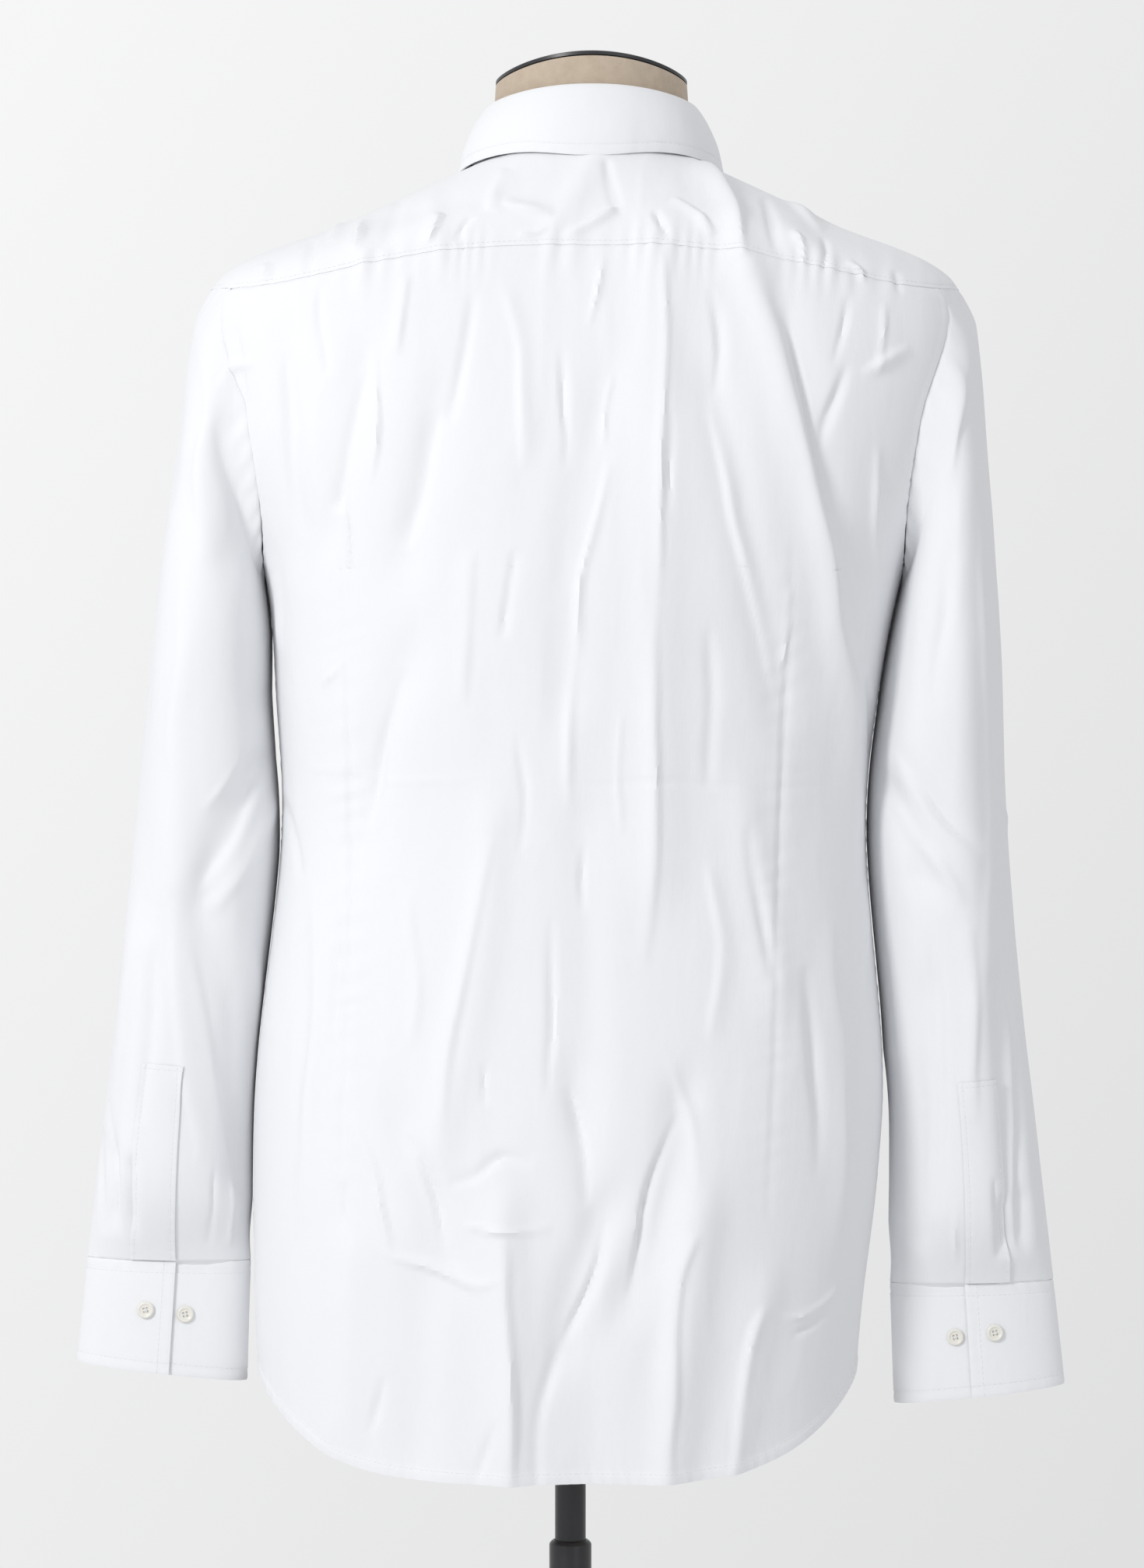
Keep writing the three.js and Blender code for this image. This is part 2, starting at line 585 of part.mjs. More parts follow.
// Angles of the sleeve's columns: by the armhole's length at the top, and evenly at the slit and below
function sleeveAngles(loop) {
  const half = loop.length / 2;
  const { PI } = Math;
  const lengths = [0];
  for (let index = 1; index <= loop.length; index += 1) {
    lengths.push(lengths[index - 1] + loop[index % loop.length].distanceTo(loop[index - 1]));
  }
  const { mapLinear } = THREE.MathUtils;
  return loop.map((unused, index) => {
    if (index > half) {
      const atTop = mapLinear(lengths[index], lengths[half], lengths[loop.length], PI, 2 * PI);
      return { atTop, below: (PI * index) / half };
    }
    const atTop = (PI * lengths[index]) / lengths[half];
    const toSlit = (CUFF_EDGE * index) / SLIT_COLUMN;
    const below = index <= SLIT_COLUMN ? toSlit : mapLinear(index, SLIT_COLUMN, half, CUFF_EDGE, PI);
    return { atTop, below };
  });
}

function makeSleeve(side) {
  const places = armholePlaces(side);
  const loop = places.map(([{ grid, row, column }]) => grid.points[row][column].clone());
  const angles = sleeveAngles(loop);
  const points = [loop];
  for (const level of SLEEVE_ROWS) {
    const settled = THREE.MathUtils.smoothstep(level, 0, 5);
    const drop = side.drop * THREE.MathUtils.smoothstep(level, 3, 10);
    const fade = THREE.MathUtils.smoothstep(10 - level, 0.3, 0.8);
    points.push(angles.map(({ atTop, below }) => {
      const angle = THREE.MathUtils.lerp(atTop, below, settled);
      const point = tubePoint(SLEEVE, side, angle, level);
      const folds = SLEEVE_FOLDS[`${side.side}_${Math.sin(angle) >= 0 ? 'back' : 'front'}`];
      const outward = new THREE.Vector3(side.sign * Math.cos(angle), Math.sin(angle), 0).normalize();
      const shown = fade * THREE.MathUtils.smoothstep(Math.abs(Math.sin(angle)), 0.25, 0.75);
      point.addScaledVector(outward, shown * foldHeight(folds, point.x, point.z));
      point.z -= drop;
      return point;
    }));
  }
  const normals = gridNormals(points, true, side.sign);
  joinArmhole(places, { points, normals });
  return { points, normals };
}

// Opens the armhole seam by the gap, square to the plane that halves the angle between sleeve and panel
function joinArmhole(places, sleeve) {
  const count = places.length;
  const loop = sleeve.points[0].map((point) => point.clone());
  places.forEach((sharing, index) => {
    const { grid, row, column, inner } = sharing[0];
    const normal = grid.normals[row][column].clone().add(sleeve.normals[0][index]).normalize();
    const along = loop[(index + 1) % count].clone().sub(loop[(index + count - 1) % count]);
    const apart = along.cross(normal).normalize();
    const intoSleeve = sleeve.points[1][index].clone().sub(loop[index]).normalize();
    const intoPanel = grid.points[inner[0]][inner[1]].clone().sub(loop[index]).normalize();
    if (apart.dot(intoSleeve.sub(intoPanel)) < 0) apart.negate();
    sleeve.points[0][index].addScaledVector(apart, SEAM_GAP / 2);
    sleeve.normals[0][index] = normal;
    for (const place of sharing) {
      place.grid.points[place.row][place.column] = loop[index].clone().addScaledVector(apart, -SEAM_GAP / 2);
      place.grid.normals[place.row][place.column] = normal.clone();
    }
  });
}

// Draws one edge of a grid back from its seam by half the gap
function openSeam(grid, places) {
  const moves = places.map(({ row, column, inner }) => {
    const point = grid.points[row][column];
    const way = grid.points[inner[0]][inner[1]].clone().sub(point).normalize();
    return { row, column, target: point.clone().addScaledVector(way, SEAM_GAP / 2) };
  });
  for (const { row, column, target } of moves) grid.points[row][column] = target;
}

function columnPlaces(rows, column, inner) {
  return rows.map((row) => ({ row, column, inner: [row, inner] }));
}

// The edge in a grid's row, with the row beside it as the inner one
function rowPlaces(grid, row, innerRow) {
  return grid.points[row].map((unused, column) => ({ row, column, inner: [innerRow, column] }));
}

function openBodySeams() {
  const sideRows = LOWER_LEVELS.slice(0, ARMPIT_ROW + 1).map((unused, row) => row);
  const yokeRows = YOKE_LEVELS.map((unused, row) => row);
  const upperRows = yokeRows.map((row) => SHOULDER_ROW + row);
  const lastYoke = grids.yoke.points[0].length - 1;
  openSeam(grids.back, columnPlaces(sideRows, 0, 1));
  openSeam(grids.back, columnPlaces(sideRows, BACK_COLUMNS, BACK_COLUMNS - 1));
  openSeam(grids.back, rowPlaces(grids.back, SHOULDER_ROW, SHOULDER_ROW - 1));
  for (const front of [grids.front_left, grids.front_right]) {
    openSeam(front, columnPlaces(sideRows, 0, 1));
    openSeam(front, columnPlaces(upperRows, 0, 1));
  }
  const seamStart = 2 * YOKE_END_COLUMNS;
  openSeam(grids.yoke, rowPlaces(grids.yoke, 0, 1).slice(seamStart, seamStart + BACK_COLUMNS + 1));
  openSeam(grids.yoke, columnPlaces(yokeRows, 0, 1));
  openSeam(grids.yoke, columnPlaces(yokeRows, lastYoke, lastYoke - 1));
}

const sleeves = SLEEVE_SIDES.map((side) => ({ side, grid: makeSleeve(side) }));
openBodySeams();

addPiece('back', wall(grids.back, CLOTH), shirting);
addPiece('yoke', wall(grids.yoke, CLOTH), shirting);
addPiece('front_left', wall(grids.front_left, CLOTH), shirting);
addPiece('front_right', wall(grids.front_right, CLOTH), shirting);

// The buttonhole band lies on the left front's last columns and stops short of the neck seam
const bandColumns = [FRONT_COLUMNS + 2, FRONT_COLUMNS + 5];
const bandGrid = layer(grids.front_left, [0, ALL_LEVELS.length], bandColumns, LAY_GAP + CLOTH);
const bandTop = bandGrid.points.length - 1;
openSeam(bandGrid, rowPlaces(bandGrid, bandTop, bandTop - 1));
addPiece('front_placket', wall(bandGrid, CLOTH), shirting);

for (const { side, grid } of sleeves) {
  addPiece(`sleeve_${side.side}`, wall(grid, CLOTH, true), shirting);
  const firstRow = 1 + SLEEVE_ROWS.indexOf(SLIT_BAND_FIRST_ROW);
  const columns = [SLIT_COLUMN - SLIT_BAND_COLUMNS, SLIT_COLUMN + 1];
  const slitBand = layer(grid, [firstRow, grid.points.length], columns, LAY_GAP + CLOTH);
  const bottom = slitBand.points.length - 1;
  openSeam(slitBand, rowPlaces(slitBand, bottom, bottom - 1));
  addPiece(`sleeve_placket_${side.side}`, wall(slitBand, CLOTH), shirting);
}

function cuffInset(angle) {
  return CUFF_INSET * (1 - THREE.MathUtils.smoothstep(angle, CUFF_EDGE + 0.2, CUFF_BLEND_END));
}

// A place on a cuff's outer face; angles past a full turn lie on the lapped end
function cuffPlace(side, angle, level) {
  const point = tubePoint(CUFF, side, angle, level);
  const turn = 0.01;
  const along = tubePoint(CUFF, side, angle + turn, level).sub(tubePoint(CUFF, side, angle - turn, level));
  const down = tubePoint(CUFF, side, angle, 1).sub(tubePoint(CUFF, side, angle, 0));
  const normal = down.cross(along).multiplyScalar(side.sign).normalize();
  point.addScaledVector(normal, -cuffInset(angle));
  point.z -= side.drop;
  return { point, normal };
}

function makeCuff(side) {
  const grid = { points: [], normals: [] };
  const end = CUFF_EDGE + 2 * Math.PI;
  for (const level of CUFF_ROWS) {
    const row = Array.from({ length: CUFF_COLUMNS + 1 }, (unused, column) => (
      cuffPlace(side, THREE.MathUtils.lerp(CUFF_UNDERLAP, end, column / CUFF_COLUMNS), level)
    ));
    grid.points.push(row.map(({ point }) => point));
    grid.normals.push(row.map(({ normal }) => normal));
  }
  return grid;
}

function makeButton(name, point, normal) {
  const profile = BUTTON_PROFILE.map(([radius, height]) => new THREE.Vector2(radius, height));
  const button = addPiece(name, new THREE.LatheGeometry(profile, BUTTON_SIDES).rotateX(Math.PI / 2), pearl);
  button.position.copy(point).addScaledVector(normal, LAY_GAP);
  button.quaternion.setFromUnitVectors(new THREE.Vector3(0, 0, 1), normal);
}

for (const side of SLEEVE_SIDES) {
  addPiece(`cuff_${side.side}`, wall(makeCuff(side), BAND), shirting);
  CUFF_BUTTON_ANGLES.forEach((angle, index) => {
    const onLap = angle < CUFF_EDGE ? angle + 2 * Math.PI : angle;
    const { point, normal } = cuffPlace(side, onLap, CUFF_BUTTON_LEVELS[index]);
    makeButton(`button_cuff_${side.side}_${index + 1}`, point, normal);
  });
}

// The place on the middle line of the buttonhole band at a given height
function bandPlace(height) {
  const row = bandGrid.points.findIndex((points) => points[1].z > height);
  const [above, below] = [row, row - 1].map((index) => (
    { point: bandGrid.points[index][1], normal: bandGrid.normals[index][1] }
  ));
  const share = (height - below.point.z) / (above.point.z - below.point.z);
  const point = below.point.clone().lerp(above.point, share);
  const normal = new THREE.Vector3(1, 0, 0).cross(above.point.clone().sub(below.point)).normalize();
  return { point, normal };
}

FRONT_BUTTON_HEIGHTS.forEach((height, index) => {
  const { point, normal } = bandPlace(height);
  makeButton(`button_${index + 1}`, point, normal);
});

// The stand is one strip, its lapped left end outside its right end
function standInset(angle) {
  return STAND_INSET * THREE.MathUtils.smoothstep(angle, STAND_UNDERLAP - 0.85, STAND_UNDERLAP - 0.5);
}

function makeStand() {
  const start = FALL_TOP_END;
  const end = Math.PI - FALL_TOP_END;
  const middle = Array.from({ length: COLLAR_COLUMNS + 1 }, (unused, column) => (
    THREE.MathUtils.lerp(start, end, column / COLLAR_COLUMNS)
  ));
  const overlap = [STAND_OVERLAP, (STAND_OVERLAP + start) / 2];
  const underlap = [(STAND_UNDERLAP + end) / 2, STAND_UNDERLAP];
  const angles = [...overlap, ...middle, ...underlap];
  const grid = { points: [], normals: [] };
  for (const level of [0, 0.5, 1]) {
    const normals = angles.map((angle) => ringNormal(STAND, angle, level));
    grid.normals.push(normals);
    grid.points.push(angles.map((angle, column) => {
      const out = normals[column].clone().setZ(0).normalize();
      return ringPoint(STAND, angle, level).addScaledVector(out, -standInset(angle));
    }));
  }
  return grid;
}

// The place on the shoulders and chest in a given direction and at a given reach from the neck's middle
function shoulderPlace(direction, reach) {
  let low = SHOULDER;
  let high = NECKLINE;
  let place;
  while (high - low > 1e-4) {
    const level = (low + high) / 2;
    const corner = 2 / columnAt(BODY, 'power', level);
    const depth = columnAt(BODY, Math.sin(direction) >= 0 ? 'back' : 'front', level);
    const slant = (Math.abs(Math.tan(direction)) * columnAt(BODY, 'half', level)) / depth;
    const turn = Math.atan(slant ** (1 / corner));
    const upper = Math.cos(direction) >= 0 ? turn : Math.PI - turn;
    const angle = Math.sin(direction) >= 0 ? upper : -upper;
    place = { point: ringPoint(BODY, angle, level), normal: ringNormal(BODY, angle, level) };
    const shift = columnAt(BODY, 'shift', level);
    if (Math.hypot(place.point.x - shift, place.point.y) > reach) low = level;
    else high = level;
  }
  return place;
}

function makeFall() {
  const points = [...CROWN, ...FALL_SHARES].map(() => []);
  for (let column = 0; column <= COLLAR_COLUMNS; column += 1) {
    const share = column / COLLAR_COLUMNS;
    const topAngle = THREE.MathUtils.lerp(FALL_TOP_END, Math.PI - FALL_TOP_END, share);
    const direction = THREE.MathUtils.lerp(FALL_POINT_ANGLE, Math.PI - FALL_POINT_ANGLE, share);
    const fromBack = Math.abs(direction - Math.PI / 2) / THREE.MathUtils.degToRad(30);
    const edge = shoulderPlace(direction, columnAt(FALL_EDGE, 'reach', fromBack));
    const outer = edge.point.addScaledVector(edge.normal, FALL_CLEAR);
    const top = ringPoint(STAND, topAngle, 1);
    const out = ringNormal(STAND, topAngle, 1).setZ(0).normalize();
    CROWN.forEach(({ out: reach, up }, row) => {
      const point = top.clone().addScaledVector(out, reach);
      point.z += up;
      points[row].push(point);
    });
    const turn = points[CROWN.length - 1][column];
    FALL_SHARES.forEach((way, row) => {
      const point = turn.clone().lerp(outer, way);
      point.addScaledVector(out, FALL_BULGE * 4 * way * (1 - way));
      points[CROWN.length + row].push(point);
    });
  }
  const normals = gridNormals(points, false, 1);
  normals[0].forEach((normal) => normal.set(0, 0, 1));
  return { points, normals };
}

addPiece('collar_stand', wall(makeStand(), BAND), shirting);
addPiece('collar_fall', wall(makeFall(), BAND), shirting);
const collarButtonLevel = 0.52;
makeButton(
  'button_collar',
  ringPoint(STAND, -Math.PI / 2, collarButtonLevel),
  ringNormal(STAND, -Math.PI / 2, collarButtonLevel),
);

// A closed solid through rings of equal count, with a flat fan at each end
function loft(rings) {
  const columns = rings[0].length;
  const positions = rings.flat().flatMap((point) => point.toArray());
  const faces = [];
  for (let r = 0; r < rings.length - 1; r += 1) {
    for (let c = 0; c < columns; c += 1) {
      const next = (c + 1) % columns;
      const [a, b] = [r * columns + c, r * columns + next];
      faces.push(a, b, b + columns, a, b + columns, a + columns);
    }
  }
  const last = (rings.length - 1) * columns;
  for (let c = 1; c < columns - 1; c += 1) {
    faces.push(0, c + 1, c);
    faces.push(last, last + c, last + c + 1);
  }
  return geometryFrom(positions, faces);
}

function manifoldOf(geometry) {
  const bare = geometry.clone();
  bare.deleteAttribute('normal');
  bare.deleteAttribute('uv');
  const merged = mergeVertices(bare, 1e-3);
  return new wasm.Manifold(new wasm.Mesh({
    numProp: 3,
    vertProperties: new Float32Array(merged.attributes.position.array),
    triVerts: new Uint32Array(merged.index.array),
  }));
}

function geometryOf(manifold) {
  const { vertProperties, triVerts } = manifold.getMesh();
  const geometry = new THREE.BufferGeometry();
  geometry.setAttribute('position', new THREE.Float32BufferAttribute(vertProperties, 3));
  geometry.setIndex(Array.from(triVerts));
  geometry.computeVertexNormals();
  return geometry;
}

function cut(geometry, ...tools) {
  const solid = tools.reduce((rest, tool) => rest.subtract(manifoldOf(tool)), manifoldOf(geometry));
  return geometryOf(solid);
}

// The form's columns at the shoulders are the cloth's, so that the two walls stay side by side
function shoulderAngles(level) {
  const front = frontAngles(level, PLACKET_HALF).slice(1, -1);
  const farFront = front.slice(0, -1).map((angle) => Math.PI - angle);
  return [...yokeAngles(level), ...farFront, ...front.reverse().map((angle) => angle + 2 * Math.PI)];
}

function formRing(table, level, inset = () => 0, lift = 0) {
  const angles = table === BODY ? shoulderAngles(level) : formAngles(table, level);
  return angles.map((angle) => {
    const point = ringPoint(table, angle, level);
    point.addScaledVector(ringNormal(table, angle, level), -inset(angle));
    point.z += lift;
    return point;
  });
}

// As many columns as at the shoulders, evenly round the part behind and the part in front of the yoke's ends
function formAngles(table, level) {
  const behind = grids.yoke.points[0].length - 1;
  const ahead = 2 * (FRONT_COLUMNS + FRONT_LINES.length - 1);
  const back = evenAngles(table, level, -YOKE_END, Math.PI + YOKE_END, behind);
  const front = evenAngles(table, level, Math.PI + YOKE_END, 2 * Math.PI - YOKE_END, ahead);
  return back.concat(front.slice(1, -1));
}

// The form lies deeper under the centre front, where two fronts lap
function shoulderInset(angle) {
  const share = THREE.MathUtils.smoothstep(-Math.sin(angle), 0.8, 0.95);
  return THREE.MathUtils.lerp(FORM_INSET, FORM_FRONT_INSET, share);
}

function upright(radius, bottom, top, sides = ROUND_SIDES) {
  const rod = new THREE.CylinderGeometry(radius, radius, top - bottom, sides).rotateX(Math.PI / 2);
  return rod.translate(0, 0, (bottom + top) / 2);
}

function sideways(radius, from, to, height) {
  const rod = new THREE.CylinderGeometry(radius, radius, to - from, 12).rotateZ(-Math.PI / 2);
  return rod.translate((from + to) / 2, 0, height);
}

function turned(profile, sides = ROUND_SIDES) {
  const points = profile.map(([radius, height]) => new THREE.Vector2(radius, height));
  return new THREE.LatheGeometry(points, sides).rotateX(Math.PI / 2);
}

function makeForm() {
  const rings = [
    ...FORM_LOWER.map((unused, level) => formRing(FORM_LOWER, level)),
    ...FORM_SHOULDER_LEVELS.map((level) => formRing(BODY, level, shoulderInset)),
    ...FORM_NECK.map((unused, level) => formRing(FORM_NECK, level)),
  ];
  return cut(loft(rings), upright(POLE_RADIUS + RUN_GAP, FORM_LOWER[0].zBack - 5, POLE_TOP + RUN_GAP));
}

const neckTop = FORM_NECK.length - 1;
addPiece('dress_form', makeForm(), linen);
addPiece('neck_cap', loft([
  formRing(FORM_NECK, neckTop, () => 0, LAY_GAP),
  formRing(FORM_NECK, neckTop, () => 0, LAY_GAP + CAP_THICKNESS),
]), darkMetal);

const poleBore = POLE_RADIUS - POLE_WALL;
addPiece('upper_tube', turned([
  [poleBore, POLE_BOTTOM], [POLE_RADIUS, POLE_BOTTOM], [POLE_RADIUS, POLE_TOP], [poleBore, POLE_TOP],
  [poleBore, POLE_BOTTOM],
]), darkMetal);

const lowerBore = POLE_RADIUS + RUN_GAP;
const lowerBottom = SOCKET_FLOOR + RUN_GAP;
const screwHole = sideways(SCREW_RADIUS + RUN_GAP, POLE_RADIUS - 2, CLAMP_RADIUS + 2, SCREW_HEIGHT);
addPiece('lower_tube', cut(turned([
  [lowerBore, lowerBottom], [LOWER_RADIUS, lowerBottom], [LOWER_RADIUS, LOWER_TOP], [lowerBore, LOWER_TOP],
  [lowerBore, lowerBottom],
]), screwHole), darkMetal);

const clampBore = LOWER_RADIUS + RUN_GAP;
const neckBore = POLE_RADIUS + RUN_GAP;
addPiece('clamp_collar', cut(turned([
  [clampBore, CLAMP_BOTTOM], [CLAMP_RADIUS, CLAMP_BOTTOM], [CLAMP_RADIUS, CLAMP_TOP - 2],
  [CLAMP_RADIUS - 2, CLAMP_TOP], [neckBore, CLAMP_TOP], [neckBore, CLAMP_NECK], [clampBore, CLAMP_NECK],
  [clampBore, CLAMP_BOTTOM],
]), screwHole), darkMetal);

// The screw's stem ends on the upper tube, and its flat wing is what the fingers turn
const stemTip = POLE_RADIUS + RUN_GAP;
const stem = manifoldOf(sideways(SCREW_RADIUS, stemTip, stemTip + SCREW_LENGTH, SCREW_HEIGHT));
const wingPlate = new THREE.BoxGeometry(WING.length, WING.width, WING.height);
wingPlate.translate(stemTip + SCREW_LENGTH + WING.length / 2 - 1, 0, SCREW_HEIGHT);
addPiece('clamp_screw', geometryOf(stem.add(manifoldOf(wingPlate))), bright);

const socket = LOWER_RADIUS + RUN_GAP;
addPiece('base', turned([
  [0, 0], [BASE_RADIUS, 0], [BASE_RADIUS, BASE_THICKNESS - 3], [BASE_RADIUS - 4, BASE_THICKNESS],
  [BOSS_RADIUS + 3, BASE_THICKNESS + 2], [BOSS_RADIUS, BASE_THICKNESS + 6], [BOSS_RADIUS, BOSS_TOP],
  [socket, BOSS_TOP], [socket, SOCKET_FLOOR], [0, SOCKET_FLOOR],
], 32), darkMetal);

export default shirt;
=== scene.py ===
"""Looks of a plain long sleeve dress shirt that hangs on a limbless dress form.

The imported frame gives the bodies, and every piece here is made in the same place and size. Tables are in
millimetres: +Z is up, the buttoned front faces -Y and the wearer's left is +X.
"""

import logging
import math
from dataclasses import dataclass, field
from enum import Enum

import bpy
import numpy as np
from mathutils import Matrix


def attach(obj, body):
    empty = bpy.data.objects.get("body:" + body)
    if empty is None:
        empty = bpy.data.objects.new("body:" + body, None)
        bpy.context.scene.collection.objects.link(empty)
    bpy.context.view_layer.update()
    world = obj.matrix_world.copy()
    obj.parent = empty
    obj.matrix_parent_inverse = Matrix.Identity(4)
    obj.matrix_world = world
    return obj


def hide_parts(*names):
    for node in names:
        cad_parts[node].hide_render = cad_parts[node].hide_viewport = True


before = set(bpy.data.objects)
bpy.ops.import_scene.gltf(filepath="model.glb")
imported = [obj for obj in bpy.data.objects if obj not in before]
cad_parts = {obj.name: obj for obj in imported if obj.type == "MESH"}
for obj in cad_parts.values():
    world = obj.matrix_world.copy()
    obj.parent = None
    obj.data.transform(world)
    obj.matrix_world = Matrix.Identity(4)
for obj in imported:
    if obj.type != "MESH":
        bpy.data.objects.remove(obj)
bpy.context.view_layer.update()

LOG = logging.getLogger("shirt")
MM = 0.001
BODY_NAME = "form"

# Cloth, seams and laps
CLOTH_WALL = 0.9
BAND_WALL = 1.5
CLOTH = 1.2
LAY_GAP = 0.35

OUTLINE_COLUMNS = ("z_back", "z_side", "z_front", "half", "back", "front", "power", "shift", "dip", "rise")
TUBE_COLUMNS = ("out_x", "out_z", "in_x", "in_z", "back", "front", "shift")


def smoothstep(value: np.ndarray, low: float, high: float) -> np.ndarray:
    """Rises smoothly from 0 at low to 1 at high.

    Args:
        value: The measure to compare.
        low: Where the rise starts.
        high: Where the rise ends.

    Returns:
        The smooth share, as large as value.
    """
    share = np.clip((np.asarray(value, float) - low) / (high - low), 0.0, 1.0)
    return share * share * (3.0 - 2.0 * share)


def unit(vectors: np.ndarray) -> np.ndarray:
    """Returns the vectors of the last axis at length 1."""
    return vectors / np.maximum(np.linalg.norm(vectors, axis=-1, keepdims=True), 1e-12)


def spline(values: np.ndarray, places: np.ndarray) -> np.ndarray:
    """Reads a smooth curve through evenly spaced values.

    Args:
        values: The values along the first axis.
        places: Positions along the curve, where 0 is the first value.

    Returns:
        The curve's values at the places.
    """
    last = len(values) - 1
    first_phantom = 2 * values[0] - values[1]
    last_phantom = 2 * values[-1] - values[-2]
    padded = np.concatenate([[first_phantom], values, [last_phantom]])
    row = np.clip(np.floor(places), 0, last - 1).astype(int)
    share = places - row
    if values.ndim > 1:
        share = share.reshape(share.shape + (1,) * (values.ndim - 1))
    before, start, end, after = (padded[row + step] for step in range(4))
    start_slope = (end - before) / 2
    end_slope = (after - start) / 2
    climb = end - start
    bend = 3 * climb - 2 * start_slope - end_slope
    twist = start_slope + end_slope - 2 * climb
    return start + share * (start_slope + share * (bend + share * twist))


def graded(length: float, fine: float, coarse: float, reach: float, multiple: int = 2) -> np.ndarray:
    """Shares out a length into steps that are fine at both ends.

    Args:
        length: The length to share out, in millimetres.
        fine: The step at the ends.
        coarse: The step in the middle.
        reach: How far from an end the steps are still growing.
        multiple: The number of steps is a multiple of this.

    Returns:
        Places from 0 to 1.
    """
    places = np.linspace(0.0, length, 2001)
    step = fine + (coarse - fine) * smoothstep(np.minimum(places, length - places), 0.0, reach)
    count = np.concatenate([[0.0], np.cumsum(np.diff(places) / ((step[1:] + step[:-1]) / 2))])
    whole = multiple * max(2, int(round(count[-1] / multiple)))
    return np.interp(np.linspace(0.0, count[-1], whole + 1), count, places) / length


@dataclass(frozen=True)
class Unevenness:
    """Smooth unevenness of a surface, from a fixed lattice of heights.

    Attributes:
        seed: Picks the lattice.
        cell_x: Size of a cell sideways, in millimetres.
        cell_z: Size of a cell in height, in millimetres.
    """

    seed: int
    cell_x: float
    cell_z: float

    def at(self, x: np.ndarray, z: np.ndarray) -> np.ndarray:
        """Reads the unevenness.

        Args:
            x: Places sideways.
            z: Places in height.

        Returns:
            Heights between about -1 and 1.
        """
        lattice = np.random.default_rng(self.seed).uniform(-1.0, 1.0, (64, 64))
        u = np.asarray(x, float) / self.cell_x + 31.7
        v = np.asarray(z, float) / self.cell_z + 0.23 * u + 17.3
        i, j = np.floor(u).astype(int), np.floor(v).astype(int)
        du, dv = u - i, v - j
        su = du**3 * (du * (du * 6 - 15) + 10)
        sv = dv**3 * (dv * (dv * 6 - 15) + 10)
        corner = [[lattice[(i + a) % 64, (j + b) % 64] for b in (0, 1)] for a in (0, 1)]
        low = corner[0][0] * (1 - sv) + corner[0][1] * sv
        high = corner[1][0] * (1 - sv) + corner[1][1] * sv
        return low * (1 - su) + high * su


class Profile(Enum):
    """How a crease is shaped across its line, as seen square on with +X on the left."""

    ROUND = "round"
    CREST = "crest"
    LEAN_LEFT = "steep on the left"
    LEAN_RIGHT = "steep on the right"

    def height(self, across: np.ndarray) -> np.ndarray:
        """Shape across the line.

        Args:
            across: Signed distance from the line in half widths, positive on the left.

        Returns:
            Shares of the crease's height.
        """
        if self is Profile.ROUND:
            return np.exp(-(across**2))
        if self is Profile.CREST:
            return np.exp(-1.9 * (np.sqrt(across**2 + 0.12) - math.sqrt(0.12)))
        steep_side = 1.0 if self is Profile.LEAN_LEFT else -1.0
        reach = np.where(across * steep_side > 0, 0.72, 1.8)
        return np.exp(-((across / reach) ** 2))


@dataclass(frozen=True)
class Crease:
    """A crease in the cloth along a curved line.

    Attributes:
        name: What the crease is.
        line: Places (x, z) that it runs through.
        width: Its full width.
        height: Its height, negative for a trough.
        profile: Its shape across the line.
    """

    name: str
    line: tuple[tuple[float, float], ...]
    width: float
    height: float
    profile: Profile

    def curve(self) -> np.ndarray:
        """Returns the line as a smooth row of places."""
        corners = np.array(self.line, float)
        return spline(corners, np.linspace(0, len(corners) - 1, 9 * (len(corners) - 1) + 1))

    def add_to(self, height: np.ndarray, x: np.ndarray, z: np.ndarray) -> None:
        """Adds the crease to heights of a surface.

        Args:
            height: The heights, which change.
            x: Places of the surface sideways.
            z: Places of the surface in height.
        """
        curve = self.curve()
        reach = 2.4 * self.width
        low, high = curve.min(axis=0) - reach, curve.max(axis=0) + reach
        near = (x > low[0]) & (x < high[0]) & (z > low[1]) & (z < high[1])
        if not near.any():
            return
        place = np.stack([x[near], z[near]], axis=-1)[:, None, :]
        start, run = curve[:-1], np.diff(curve, axis=0)
        length = np.linalg.norm(run, axis=-1)
        share = np.clip(((place - start) * run).sum(-1) / length**2, 0.0, 1.0)
        offset = place - start - share[..., None] * run
        distance = np.linalg.norm(offset, axis=-1)
        nearest = distance.argmin(axis=1)
        rows = np.arange(len(nearest))
        side = run[nearest, 0] * offset[rows, nearest, 1] - run[nearest, 1] * offset[rows, nearest, 0]
        across = np.sign(side) * distance[rows, nearest] / (self.width / 2)
        along = (nearest + share[rows, nearest]) / len(run)
        taper = np.clip(np.sin(math.pi * along), 0.0, 1.0) ** 0.7
        swell = 1.0 + 0.24 * np.sin(7.3 * along + self.line[0][0])
        height[near] += self.height * taper * swell * self.profile.height(across)


